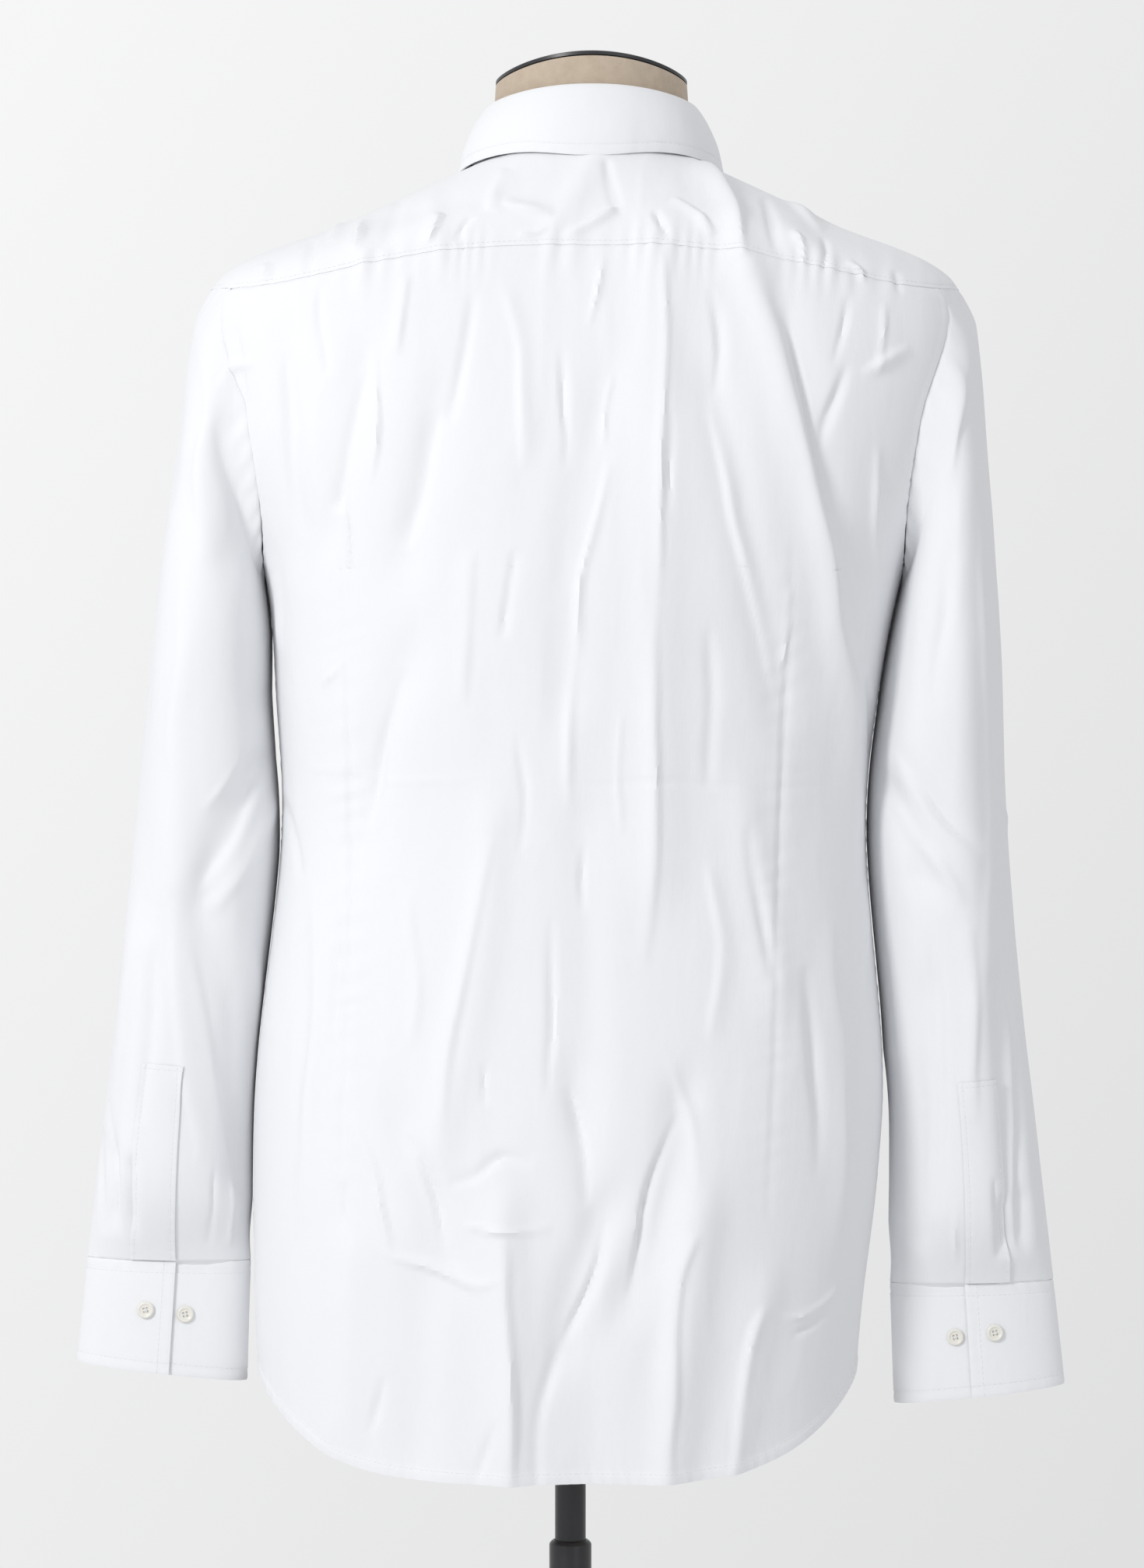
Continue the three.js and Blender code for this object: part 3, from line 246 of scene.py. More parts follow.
@dataclass(frozen=True)
class Fold:
    """A broad fold along a bowed line.

    Attributes:
        name: What the fold is.
        start: Its first place (x, z).
        end: Its last place (x, z).
        bow: How far the line bows sideways.
        width: Its full width.
        height: Its height, negative for a trough.
    """

    name: str
    start: tuple[float, float]
    end: tuple[float, float]
    bow: float
    width: float
    height: float

    def at(self, x: np.ndarray, z: np.ndarray) -> np.ndarray:
        """Height of the fold.

        Args:
            x: Places sideways.
            z: Places in height.

        Returns:
            The heights.
        """
        run_x, run_z = self.end[0] - self.start[0], self.end[1] - self.start[1]
        length = math.hypot(run_x, run_z)
        from_x, from_z = x - self.start[0], z - self.start[1]
        along = (from_x * run_x + from_z * run_z) / length
        share = np.clip(along / length, 0.0, 1.0)
        beyond = along - share * length
        offset = (from_x * run_z - from_z * run_x) / length + self.bow * 4 * share * (1 - share)
        return self.height * np.exp(-(offset**2 + beyond**2 / 4) / (self.width / 2) ** 2)


def folds(*rows: tuple) -> tuple[Fold, ...]:
    """Returns broad folds from rows of name, x, z, x, z, bow, width and height."""
    return tuple(Fold(name, (x0, z0), (x1, z1), *sizes) for name, x0, z0, x1, z1, *sizes in rows)


def creases(profile: Profile, *rows: tuple) -> tuple[Crease, ...]:
    """Makes creases of one profile.

    Args:
        profile: Their shape across the line.
        rows: Name, width, height and the x and z of each place.

    Returns:
        The creases.
    """
    return tuple(
        Crease(name, tuple(zip(line[::2], line[1::2])), width, height, profile)
        for name, width, height, *line in rows
    )


@dataclass(frozen=True)
class Relief:
    """All that lifts one face of the cloth: broad folds, creases and fine unevenness.

    Attributes:
        folds: The broad folds.
        creases: The listed creases.
        seed: Picks the fine unevenness.
        fine: Height of the fine unevenness.
        strength: Share of their own height that the creases have.
        spread: Share of the broad folds' height that is left beside the creases.
    """

    folds: tuple[Fold, ...]
    creases: tuple[Crease, ...]
    seed: int
    fine: float = 0.5
    strength: float = 1.0
    spread: float = 0.78

    def broad(self, x: np.ndarray, z: np.ndarray) -> np.ndarray:
        """Height of the broad folds.

        Args:
            x: Places sideways.
            z: Places in height.

        Returns:
            The heights.
        """
        return self.spread * sum((fold.at(x, z) for fold in self.folds), np.zeros_like(x, float))

    def detail(self, x: np.ndarray, z: np.ndarray) -> np.ndarray:
        """Height of the creases and of the fine unevenness.

        Args:
            x: Places sideways.
            z: Places in height.

        Returns:
            The heights.
        """
        warp_x = x + 1.8 * Unevenness(self.seed, 26, 41).at(x, z)
        warp_z = z + 2.2 * Unevenness(self.seed + 1, 33, 37).at(x, z)
        height = np.zeros_like(warp_x)
        for crease in self.creases:
            crease.add_to(height, warp_x, warp_z)
        soft = Unevenness(self.seed + 2, 34, 88).at(warp_x, warp_z)
        ridged = 1.0 - 2.0 * np.abs(Unevenness(self.seed + 3, 19, 62).at(warp_x, warp_z))
        small = Unevenness(self.seed + 4, 9, 21).at(warp_x, warp_z)
        patch = smoothstep(Unevenness(self.seed + 5, 70, 110).at(x, z), -0.5, 0.6)
        return self.strength * height + self.fine * (0.8 * soft + patch * (0.5 * ridged + 0.16 * small))


@dataclass(frozen=True)
class Levels:
    """A table of measures, level by level, that is read as smooth curves.

    Attributes:
        columns: Names of the measures.
        rows: One row of measures for each level.
    """

    columns: tuple[str, ...]
    rows: tuple[tuple[float, ...], ...]

    def read(self, column: str, level: np.ndarray) -> np.ndarray:
        """Reads one measure.

        Args:
            column: The measure's name.
            level: Levels, which may lie between two rows.

        Returns:
            The measure at each level.
        """
        values = np.array([row[self.columns.index(column)] for row in self.rows], float)
        return spline(values, np.asarray(level, float))


@dataclass(frozen=True)
class Outline(Levels):
    """Closed outlines of a body, collar or form: angle 0 is the wearer's left and 90 degrees the back."""

    def point(self, angle: np.ndarray, level: np.ndarray) -> np.ndarray:
        """Place on an outline.

        Args:
            angle: Angles round the outline.
            level: Levels.

        Returns:
            Places in millimetres.
        """
        angle, level = np.broadcast_arrays(np.asarray(angle, float), np.asarray(level, float))
        sideways, backward = np.cos(angle), np.sin(angle)
        corner = 2 / self.read("power", level)
        behind = backward >= 0
        depth = np.where(behind, self.read("back", level), self.read("front", level))
        middle = np.where(behind, self.read("z_back", level), self.read("z_front", level))
        side = self.read("z_side", level)
        climb = (middle - side) * (1 - np.abs(sideways) ** self.read("rise", level))
        return np.stack(
            [
                self.read("shift", level)
                + self.read("half", level) * np.sign(sideways) * np.abs(sideways) ** corner,
                depth * np.sign(backward) * np.abs(backward) ** corner,
                side + climb - self.read("dip", level) * (2 * sideways * backward) ** 2,
            ],
            axis=-1,
        )

    def normal(self, angle: np.ndarray, level: np.ndarray) -> np.ndarray:
        """Direction out of an outline.

        Args:
            angle: Angles round the outline.
            level: Levels.

        Returns:
            Directions of length 1.
        """
        turn, step, top = 0.01, 0.02, len(self.rows) - 1
        along = self.point(angle + turn, level) - self.point(angle - turn, level)
        above = self.point(angle, np.minimum(level + step, top))
        return unit(np.cross(along, above - self.point(angle, np.maximum(level - step, 0))))

    def shared_angles(self, level: float, start: float, end: float, shares: np.ndarray) -> np.ndarray:
        """Angles that share out a stretch of an outline by length.

        Args:
            level: The outline's level.
            start: The first angle.
            end: The last angle.
            shares: Shares of the length, from 0 to 1.

        Returns:
            One angle for each share.
        """
        angles = np.linspace(start, end, 260)
        points = self.point(angles, np.full(angles.shape, level))
        lengths = np.concatenate([[0.0], np.cumsum(np.linalg.norm(np.diff(points, axis=0), axis=-1))])
        return np.interp(shares * lengths[-1], lengths, angles)


@dataclass(frozen=True)
class Tube(Levels):
    """Outlines of a sleeve or cuff: angle 0 is the outer side and 90 degrees the back."""

    def point(self, sign: float, angle: np.ndarray, level: np.ndarray) -> np.ndarray:
        """Place on an outline.

        Args:
            sign: 1 on the wearer's left, -1 on the right.
            angle: Angles round the tube.
            level: Levels.

        Returns:
            Places in millimetres.
        """
        angle, level = np.broadcast_arrays(np.asarray(angle, float), np.asarray(level, float))
        outward = (1 + np.cos(angle)) / 2
        depth = np.where(np.sin(angle) >= 0, self.read("back", level), self.read("front", level))
        in_x, out_x = self.read("in_x", level), self.read("out_x", level)
        in_z, out_z = self.read("in_z", level), self.read("out_z", level)
        return np.stack(
            [
                sign * (in_x + (out_x - in_x) * outward) + self.read("shift", level),
                depth * np.sin(angle),
                in_z + (out_z - in_z) * outward,
            ],
            axis=-1,
        )


BODY = Outline(
    OUTLINE_COLUMNS,
    (
        (722, 776, 742, 184, 128, 120, 2.3, 8, 0, 4),
        (800, 820, 805, 187, 132, 122, 2.3, 7, 0, 2),
        (890, 895, 890, 192, 133, 122, 2.3, 3, 0, 2),
        (968, 968, 968, 192, 130, 122, 2.3, 0, 0, 2),
        (1100, 1100, 1100, 180, 122, 118, 2.3, -2, 0, 2),
        (1185, 1185, 1185, 185, 126, 124, 2.3, -4, 0, 2),
        (1262, 1262, 1262, 196, 130, 128, 2.3, -8, 0, 2),
        (1350, 1350, 1350, 222, 124, 112, 2.5, -8, 0, 2),
        (1455, 1437, 1425, 230, 98, 92, 2.8, -9, 10, 2),
        (1489, 1478, 1446, 150, 84, 86, 2.4, -11, 4, 2),
        (1520, 1512, 1462, 74, 64, 80, 2.1, -13, 0, 2),
    ),
)
ARMPIT, CHEST, SHOULDER, NECKLINE = 6, 7, 8, 10
ARMHOLE_BACK, ARMHOLE_FRONT = 66.0, 60.0
YOKE_END = math.radians(24)
PLACKET_HALF, UNDERLAP_EDGE, UNDERLAP_INSET, UNDERLAP_START = 17.5, 15.0, 2.0, 50.0

SLEEVE = Tube(
    TUBE_COLUMNS,
    (
        (241, 1415, 200, 1252, 68, 64, -9),
        (246, 1380, 198, 1236, 71, 67, -8),
        (250, 1335, 195, 1216, 74, 70, -7),
        (256, 1280, 192, 1194, 76, 70, -5),
        (262, 1210, 190, 1160, 74, 68, -3.5),
        (267, 1130, 187, 1105, 66, 62, -1),
        (273, 1060, 189, 1047, 58, 56, 0),
        (279, 1000, 196, 992, 54, 52, 0),
        (287, 935, 200, 930, 50, 48, 0),
        (293, 885, 200, 882, 44, 42, 0),
        (298, 843.6, 197.2, 841.6, 22.5, 21.5, 0),
    ),
)
CUFF_SEAM = 10
CUFF = Tube(TUBE_COLUMNS, ((298, 843, 197.2, 841, 22, 21, 0), (305, 779, 199.5, 767, 23, 21, 0)))
CUFF_UNDERLAP, CUFF_EDGE, CUFF_BLEND_END = (math.radians(degrees) for degrees in (45, 97, 150))
CUFF_INSET = 2.6
CUFF_BUTTONS = ((78.7, 0.44), (105.8, 0.46))
SLIT_BAND = (math.radians(64.7), math.radians(97.0))
SLIT_TOP = 7.5

STAND = Outline(
    OUTLINE_COLUMNS,
    (
        (1520.7, 1512.7, 1463.4, 74.3, 64.3, 80.3, 2.1, -13, 0, 2),
        (1553.5, 1546.5, 1493, 64.4, 60.4, 70.4, 2.1, -13, 0, 2),
    ),
)
STAND_OVERLAP, STAND_UNDERLAP = math.radians(-104), math.radians(282)
STAND_INSET = 2.6
FALL_TOP_END, FALL_POINT_ANGLE = math.radians(-87), math.radians(-60)
CROWN = ((-1.6, 2.9), (0.7, 2.9), (2.6, 0.9))
FALL_SHARES = (0.12, 0.38, 0.7, 1.0)
FALL_BULGE, FALL_CLEAR = 4.0, 1.9
FALL_REACH = (70.0, 72.0, 76.5, 81.4, 88.0, 101.0)
COLLAR_BUTTON_LEVEL = 0.52
FRONT_BUTTON_HEIGHTS = (1405, 1310, 1215, 1120, 1025, 930)

FORM_LOWER = Outline(
    OUTLINE_COLUMNS,
    (
        (790, 790, 790, 138, 86, 80, 2.2, 6, 0, 2),
        (797, 797, 797, 150, 96, 90, 2.3, 6, 0, 2),
        (870, 870, 870, 158, 102, 95, 2.3, 4, 0, 2),
        (980, 980, 980, 150, 98, 91, 2.3, 1, 0, 2),
        (1100, 1100, 1100, 134, 90, 84, 2.3, -2, 0, 2),
        (1200, 1200, 1200, 146, 98, 94, 2.3, -4, 0, 2),
        (1290, 1290, 1290, 162, 104, 102, 2.3, -7, 0, 2),
        (1370, 1370, 1370, 176, 103, 97, 2.4, -8, 0, 2),
        (1415, 1412, 1405, 194, 98, 90, 2.6, -8.5, 0, 2),
    ),
)
FORM_NECK = Outline(
    OUTLINE_COLUMNS,
    (
        (1519, 1511.5, 1461, 69.5, 59.5, 75.5, 2.1, -13, 0, 2),
        (1545, 1540, 1497, 61.5, 56.5, 64, 2, -13, 0, 2),
        (1574, 1564, 1554, 59, 57, 61, 2, -13, 0, 2),
    ),
)


def armhole_angle(level: float, behind: bool) -> float:
    """Angle of the armhole's edge from the wearer's side.

    Args:
        level: A level of the body.
        behind: Whether the edge is the back one.

    Returns:
        The angle, 0 at the armpit and below.
    """
    if level <= ARMPIT:
        return 0.0
    if level >= SHOULDER:
        return YOKE_END
    widest = ARMHOLE_BACK if behind else ARMHOLE_FRONT
    yoke_end = abs(BODY.point(YOKE_END if behind else -YOKE_END, SHOULDER)[1])
    rise = level - ARMPIT
    blend = float(smoothstep(level, CHEST, SHOULDER))
    if level <= CHEST:
        reach = widest * math.sqrt(min(rise * (2 - rise), 1))
    else:
        reach = widest + (yoke_end - widest) * blend
    depth = float(BODY.read("back" if behind else "front", level))
    return math.asin((reach / depth) ** (float(BODY.read("power", level)) / 2))


def front_angle(level: float, from_middle: float) -> float:
    """Angle at which a line beside the middle crosses the front.

    Args:
        level: A level of the body.
        from_middle: Distance of the line, positive to the wearer's left.

    Returns:
        The angle.
    """
    corner = 2 / float(BODY.read("power", level))
    turn = math.acos((abs(from_middle) / float(BODY.read("half", level))) ** (1 / corner))
    return -turn if from_middle >= 0 else turn - math.pi


def body_place(angle: np.ndarray, level: np.ndarray) -> np.ndarray:
    """Place on the outer face of the body's cloth, with its folds and creases.

    Args:
        angle: Angles round the body.
        level: Levels of the body.

    Returns:
        Places in millimetres.
    """
    angle, level = np.broadcast_arrays(np.asarray(angle, float), np.asarray(level, float))
    point, normal = BODY.point(angle, level), BODY.normal(angle, level)
    x, y, z = point[..., 0], point[..., 1], point[..., 2]
    behind = y >= 0
    broad = np.where(behind, BACK_RELIEF.broad(x, z), FRONT_RELIEF.broad(x, z))
    detail = np.where(behind, BACK_RELIEF.detail(x, z), FRONT_RELIEF.detail(x, z))
    height = smoothstep(np.abs(y), 20, 70) * broad + smoothstep(np.abs(y), 6, 44) * detail
    on_form = smoothstep(level, 7.4, 8.0)
    height = np.where(height < 0, height * (1 - on_form) - on_form * 1.6 * np.tanh(-height / 1.6), height)
    seam = np.exp(-(((level - SHOULDER) * 100) ** 2) / 9) * behind
    return point + normal * (height - 0.3 * seam)[..., None]


@dataclass
class Grid:
    """A face of cloth: rows and columns of places, and the directions out of it.

    Attributes:
        points: Places in millimetres, rows by columns by 3.
        closed: Whether the last column meets the first.
        sign: 1 or -1, so that the directions point out of the cloth.
        normals: Directions out of the cloth at the places.
    """

    points: np.ndarray
    closed: bool = False
    sign: float = 1.0
    normals: np.ndarray = field(init=False)

    def __post_init__(self) -> None:
        """Works out the directions."""
        self.turn()

    def turn(self) -> None:
        """Works out the directions from the places."""
        down = np.gradient(self.points, axis=0)
        if self.closed:
            along = (np.roll(self.points, -1, axis=1) - np.roll(self.points, 1, axis=1)) / 2
        else:
            along = np.gradient(self.points, axis=1)
        self.normals = self.sign * unit(np.cross(along, down))

    def lift(self, height: np.ndarray) -> None:
        """Moves the face out of the cloth.

        Args:
            height: How far, at each place or for all.
        """
        self.points = self.points + self.normals * np.asarray(height)[..., None]
        self.turn()

    def lengths(self, axis: int) -> np.ndarray:
        """Length from the first row or column.

        Args:
            axis: 0 to measure along the columns' lines from the first row, 1 along the rows.

        Returns:
            Lengths in millimetres at each place.
        """
        steps = np.linalg.norm(np.diff(self.points, axis=axis), axis=-1)
        start = np.zeros_like(steps.take([0], axis=axis))
        return np.concatenate([start, np.cumsum(steps, axis=axis)], axis=axis)

    def from_edge(self, edge: "Edge") -> np.ndarray:
        """Distance from one edge of the face.

        Args:
            edge: The edge.

        Returns:
            Distances in millimetres at each place.
        """
        lengths = self.lengths(0 if edge in (Edge.FIRST_ROW, Edge.LAST_ROW) else 1)
        if edge is Edge.LAST_ROW:
            return lengths[-1:] - lengths
        if edge is Edge.LAST_COLUMN:
            return lengths[:, -1:] - lengths
        return lengths

    def seam(self, edge: "Edge", finish: "SeamFinish", seed: int) -> None:
        """Shapes the cloth along one edge.

        Args:
            edge: The edge.
            finish: How the edge is sewn.
            seed: Picks the unevenness of its puckers.
        """
        distance = self.from_edge(edge)
        along = self.lengths(1 if edge in (Edge.FIRST_ROW, Edge.LAST_ROW) else 0)
        self.lift(finish.height(distance, along, seed))

    def line(self, edge: "Edge", distance: float) -> tuple[np.ndarray, np.ndarray]:
        """Finds the line at a distance from one edge.

        Args:
            edge: The edge.
            distance: Its distance in millimetres.

        Returns:
            Places and directions along the line.
        """
        measure, points, normals = self.from_edge(edge), self.points, self.normals
        if edge in (Edge.FIRST_COLUMN, Edge.LAST_COLUMN):
            measure, points, normals = measure.T, points.swapaxes(0, 1), normals.swapaxes(0, 1)
        past = measure >= distance
        row = past.argmax(axis=0)
        if edge not in (Edge.FIRST_ROW, Edge.FIRST_COLUMN):
            row = past.shape[0] - 1 - past[::-1].argmax(axis=0)
        column = np.arange(len(row))
        return points[row, column], normals[row, column]


class Edge(Enum):
    """The four edges of a grid."""

    FIRST_ROW = "first row"
    LAST_ROW = "last row"
    FIRST_COLUMN = "first column"
    LAST_COLUMN = "last column"


@dataclass(frozen=True)
class SeamFinish:
    """How the cloth lies beside a sewn edge.

    Attributes:
        drop: How far the edge itself is drawn down.
        stitch: Distance of the stitched line from the edge.
        raised: Height of the doubled cloth between edge and stitched line.
        pucker: Height of the puckers.
        pucker_reach: How far the puckers run into the cloth.
        pitch: Length of one pucker.
    """

    drop: float = 0.3
    stitch: float = 6.0
    raised: float = 0.3
    pucker: float = 0.25
    pucker_reach: float = 9.0
    pitch: float = 7.5

    def height(self, distance: np.ndarray, along: np.ndarray, seed: int) -> np.ndarray:
        """Height of the cloth beside the edge.

        Args:
            distance: Distances from the edge.
            along: Lengths along the edge.
            seed: Picks the unevenness.

        Returns:
            Heights in millimetres.
        """
        wander = Unevenness(seed, 31, 200).at(along, distance)
        size = 0.6 + 0.7 * Unevenness(seed + 1, 23, 300).at(along, distance)
        phase = 2 * math.pi * along / self.pitch + 5.0 * wander + 0.09 * distance
        ripple = self.pucker * size * np.sin(phase) * np.exp(-((distance / self.pucker_reach) ** 2))
        edge = -self.drop * np.exp(-distance / 0.9)
        band = self.raised * (1 - smoothstep(distance, self.stitch - 0.2, self.stitch + 1.2))
        groove = -0.32 * np.exp(-(((distance - self.stitch) / 0.8) ** 2))
        return edge + band + groove + ripple


def between(rows: np.ndarray, step: int, shape: tuple[int, int]) -> np.ndarray:
    """Fills in the places between the rows and columns of a coarse grid.

    Args:
        rows: The coarse grid, with its first column again at the end where it is closed.
        step: Fine rows and columns for one coarse one.
        shape: Rows and columns of the fine grid.

    Returns:
        The fine grid.
    """
    for axis in (0, 1):
        where = np.arange(shape[axis]) / step
        start = np.minimum(where.astype(int), rows.shape[axis] - 2)
        share = (where - start).reshape((-1, 1, 1) if axis == 0 else (1, -1, 1))
        rows = np.take(rows, start, axis) * (1 - share) + np.take(rows, start + 1, axis) * share
    return rows


def inner_face(grid: Grid, thickness: float, step: int) -> np.ndarray:
    """Finds the wall's inner face, which keeps under the outer one at every crease.

    Args:
        grid: The outer face.
        thickness: The wall's thickness in millimetres.
        step: Rows and columns of the outer face for one of the inner face.

    Returns:
        Places of the inner face in millimetres.
    """
    shape = grid.points.shape[:2]
    points, normals = grid.points[::step, ::step], grid.normals[::step, ::step]
    depth = np.full(points.shape[:2], thickness)
    for _ in range(3):
        inner = points - depth[..., None] * normals
        closing = np.concatenate([inner, inner[:, :1]], 1) if grid.closed else inner
        clear = ((grid.points - between(closing, step, shape)) * grid.normals).sum(-1)
        short = np.maximum(0.4 * thickness - clear, 0.0)
        padded = np.pad(short, ((step, step), (0, 0)))
        padded = np.pad(padded, ((0, 0), (step, step)), mode="wrap" if grid.closed else "constant")
        shifts = range(2 * step + 1)
        windows = [padded[a : a + shape[0], b : b + shape[1]] for a in shifts for b in shifts]
        depth = depth + 1.2 * np.max(windows, axis=0)[::step, ::step]
    return points - depth[..., None] * normals


def wall_mesh(name: str, grid: Grid, thickness: float, step: int = 2) -> bpy.types.Mesh:
    """Makes a closed wall whose outer face is a grid and whose inner face has fewer rows and columns.

    Args:
        name: The mesh's name.
        grid: The outer face, with a multiple of step between its first and last rows and columns.
        thickness: The wall's thickness in millimetres.
        step: Rows and columns of the outer face for one of the inner face.

    Returns:
        The mesh, in metres.
    """
    rows, columns = grid.points.shape[:2]
    outer = np.arange(rows * columns).reshape(rows, columns)
    inner_points = inner_face(grid, thickness, step)
    inner = rows * columns + np.arange(inner_points[..., 0].size).reshape(inner_points.shape[:2])
    if grid.closed:
        outer, inner = np.concatenate([outer, outer[:, :1]], 1), np.concatenate([inner, inner[:, :1]], 1)

    def quads(index: np.ndarray) -> np.ndarray:
        """Returns the four corners of each square of a grid of numbers."""
        return np.stack([index[:-1, :-1], index[:-1, 1:], index[1:, 1:], index[1:, :-1]], -1).reshape(-1, 4)

    def border(out_line: np.ndarray, in_line: np.ndarray) -> np.ndarray:
        """Joins an outer edge and the inner edge under it.

        Args:
            out_line: Numbers of the outer edge's places.
            in_line: Numbers of the inner edge's places.

        Returns:
            The triangles between the edges.
        """
        start, end = in_line[:-1], in_line[1:]
        half = step // 2
        corners = [
            (out_line[k + 1 :: step], out_line[k:-1:step], start if k < half else end)
            for k in range(step)
        ]
        corners.append((out_line[half::step], start, end))
        return np.concatenate([np.stack(corner, -1) for corner in corners])

    rims = [border(outer[0], inner[0]), border(outer[-1, ::-1], inner[-1, ::-1])]
    if not grid.closed:
        rims += [border(outer[::-1, 0], inner[::-1, 0]), border(outer[:, -1], inner[:, -1])]
    points = np.concatenate([grid.points.reshape(-1, 3), inner_points.reshape(-1, 3)]) * MM
    faces = quads(outer).tolist() + quads(inner)[:, ::-1].tolist() + np.concatenate(rims).tolist()
    return finish_mesh(name, points, faces)


def finish_mesh(name: str, points: np.ndarray, faces: list[list[int]], sharp: float = 48.0) -> bpy.types.Mesh:
    """Makes a smooth-shaded mesh whose faces point outwards.

    Args:
        name: The mesh's name.
        points: Places in metres.
        faces: Corner numbers of each face.
        sharp: Edges that bend more than this many degrees are kept sharp.

    Returns:
        The mesh.
    """
    halves = [[face[0], face[2], face[3]] for face in faces if len(face) == 4]
    corners = np.array([face[:3] for face in faces] + halves)
    a, b, c = (points[corners[:, k]] for k in range(3))
    if np.einsum("ij,ij->i", a, np.cross(b, c)).sum() < 0:
        faces = [face[::-1] for face in faces]
    mesh = bpy.data.meshes.new(name)
    mesh.from_pydata(points, [], faces)
    mesh.shade_smooth()
    mesh.set_sharp_from_angle(angle=math.radians(sharp))
    return mesh


def ring_faces(count: int, sides: int, joined: bool = False) -> list[list[int]]:
    """Lists the four-sided faces between closed rings of points.

    Args:
        count: Number of rings.
        sides: Number of points in a ring.
        joined: Whether the last ring also joins the first.

    Returns:
        The points' numbers of each face.
    """
    index = np.arange(count * sides).reshape(count, sides)
    index = np.concatenate([index, index[:, :1]], 1)
    if joined:
        index = np.concatenate([index, index[:1]], 0)
    corners = [index[:-1, :-1], index[:-1, 1:], index[1:, 1:], index[1:, :-1]]
    return np.stack(corners, -1).reshape(-1, 4).tolist()


def stack_mesh(name: str, rings: np.ndarray, sharp: float) -> bpy.types.Mesh:
    """Makes a closed mesh from rings that lie over each other.

    Args:
        name: The mesh's name.
        rings: The rings from the lowest to the highest, in millimetres.
        sharp: The angle in degrees from which an edge stays sharp.

    Returns:
        The mesh, in metres.
    """
    count, sides = rings.shape[:2]
    faces = ring_faces(count, sides)
    faces += [list(range(sides - 1, -1, -1)), list(range((count - 1) * sides, count * sides))]
    return finish_mesh(name, rings.reshape(-1, 3) * MM, faces, sharp)


def add_piece(
    name: str, mesh: bpy.types.Mesh, material: bpy.types.Material, body: str
) -> bpy.types.Object:
    """Puts a mesh into the scene as a piece of the object.

    Args:
        name: The piece's name.
        mesh: Its mesh.
        material: Its finish.
        body: The body that it moves with.

    Returns:
        The piece.
    """
    piece = bpy.data.objects.new(name, mesh)
    bpy.context.scene.collection.objects.link(piece)
    mesh.materials.append(material)
    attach(piece, body)
    LOG.info("%s: %d faces on %s", name, len(mesh.polygons), body)
    return piece


@dataclass
class Stitching:
    """Rows of small stitches, gathered into one mesh.

    Attributes:
        name: The piece's name.
        length: Length of one stitch.
        pitch: Length of a stitch and the space after it.
        radius: Half the thread's thickness.
        points: Places of the stitches made so far.
    """

    name: str
    length: float = 2.3
    pitch: float = 3.2
    radius: float = 0.24
    points: list[np.ndarray] = field(default_factory=list)

    def run(self, line: tuple[np.ndarray, np.ndarray], sink: float = 0.02) -> None:
        """Sews one row of stitches.

        Args:
            line: Places and directions out of the cloth along the row.
            sink: How deep the stitches' middle lies in the cloth.
        """
        places, normals = line
        steps = np.linalg.norm(np.diff(places, axis=0), axis=-1)
        lengths = np.concatenate([[0.0], np.cumsum(steps)])
        count = int(lengths[-1] / self.pitch)
        if count < 1:
            return
        middles = (np.arange(count) + 0.5) * lengths[-1] / count

        def at(values: np.ndarray, where: np.ndarray) -> np.ndarray:
            """Returns values along the row at given lengths."""
            return np.stack([np.interp(where, lengths, values[:, k]) for k in range(3)], -1)

        out = unit(at(normals, middles))
        way = unit(at(places, middles + self.length / 2) - at(places, middles - self.length / 2))
        side = unit(np.cross(out, way))
        centre = at(places, middles) - sink * out
        ring = np.linspace(0, 2 * math.pi, 5, endpoint=False)
        rings = []
        for share, size in ((-0.5, 0.35), (-0.28, 1.0), (0.28, 1.0), (0.5, 0.35)):
            for angle in ring:
                turn = math.cos(angle) * out + math.sin(angle) * side
                rings.append(centre + share * self.length * way + size * self.radius * turn)
        self.points.append(np.stack(rings, axis=1))

    def build(self, material: bpy.types.Material) -> bpy.types.Object:
        """Makes the piece.

        Args:
            material: The thread's finish.

        Returns:
            The piece.
        """
        points = np.concatenate(self.points)
        count = len(points)
        template = ring_faces(4, 5)
        ends = [[4, 3, 2, 1, 0], [15, 16, 17, 18, 19]]
        faces = []
        for base in range(0, 20 * count, 20):
            faces += [[base + corner for corner in face] for face in template + ends]
        mesh = finish_mesh(self.name, points.reshape(-1, 3) * MM, faces)
        return add_piece(self.name, mesh, material, BODY_NAME)


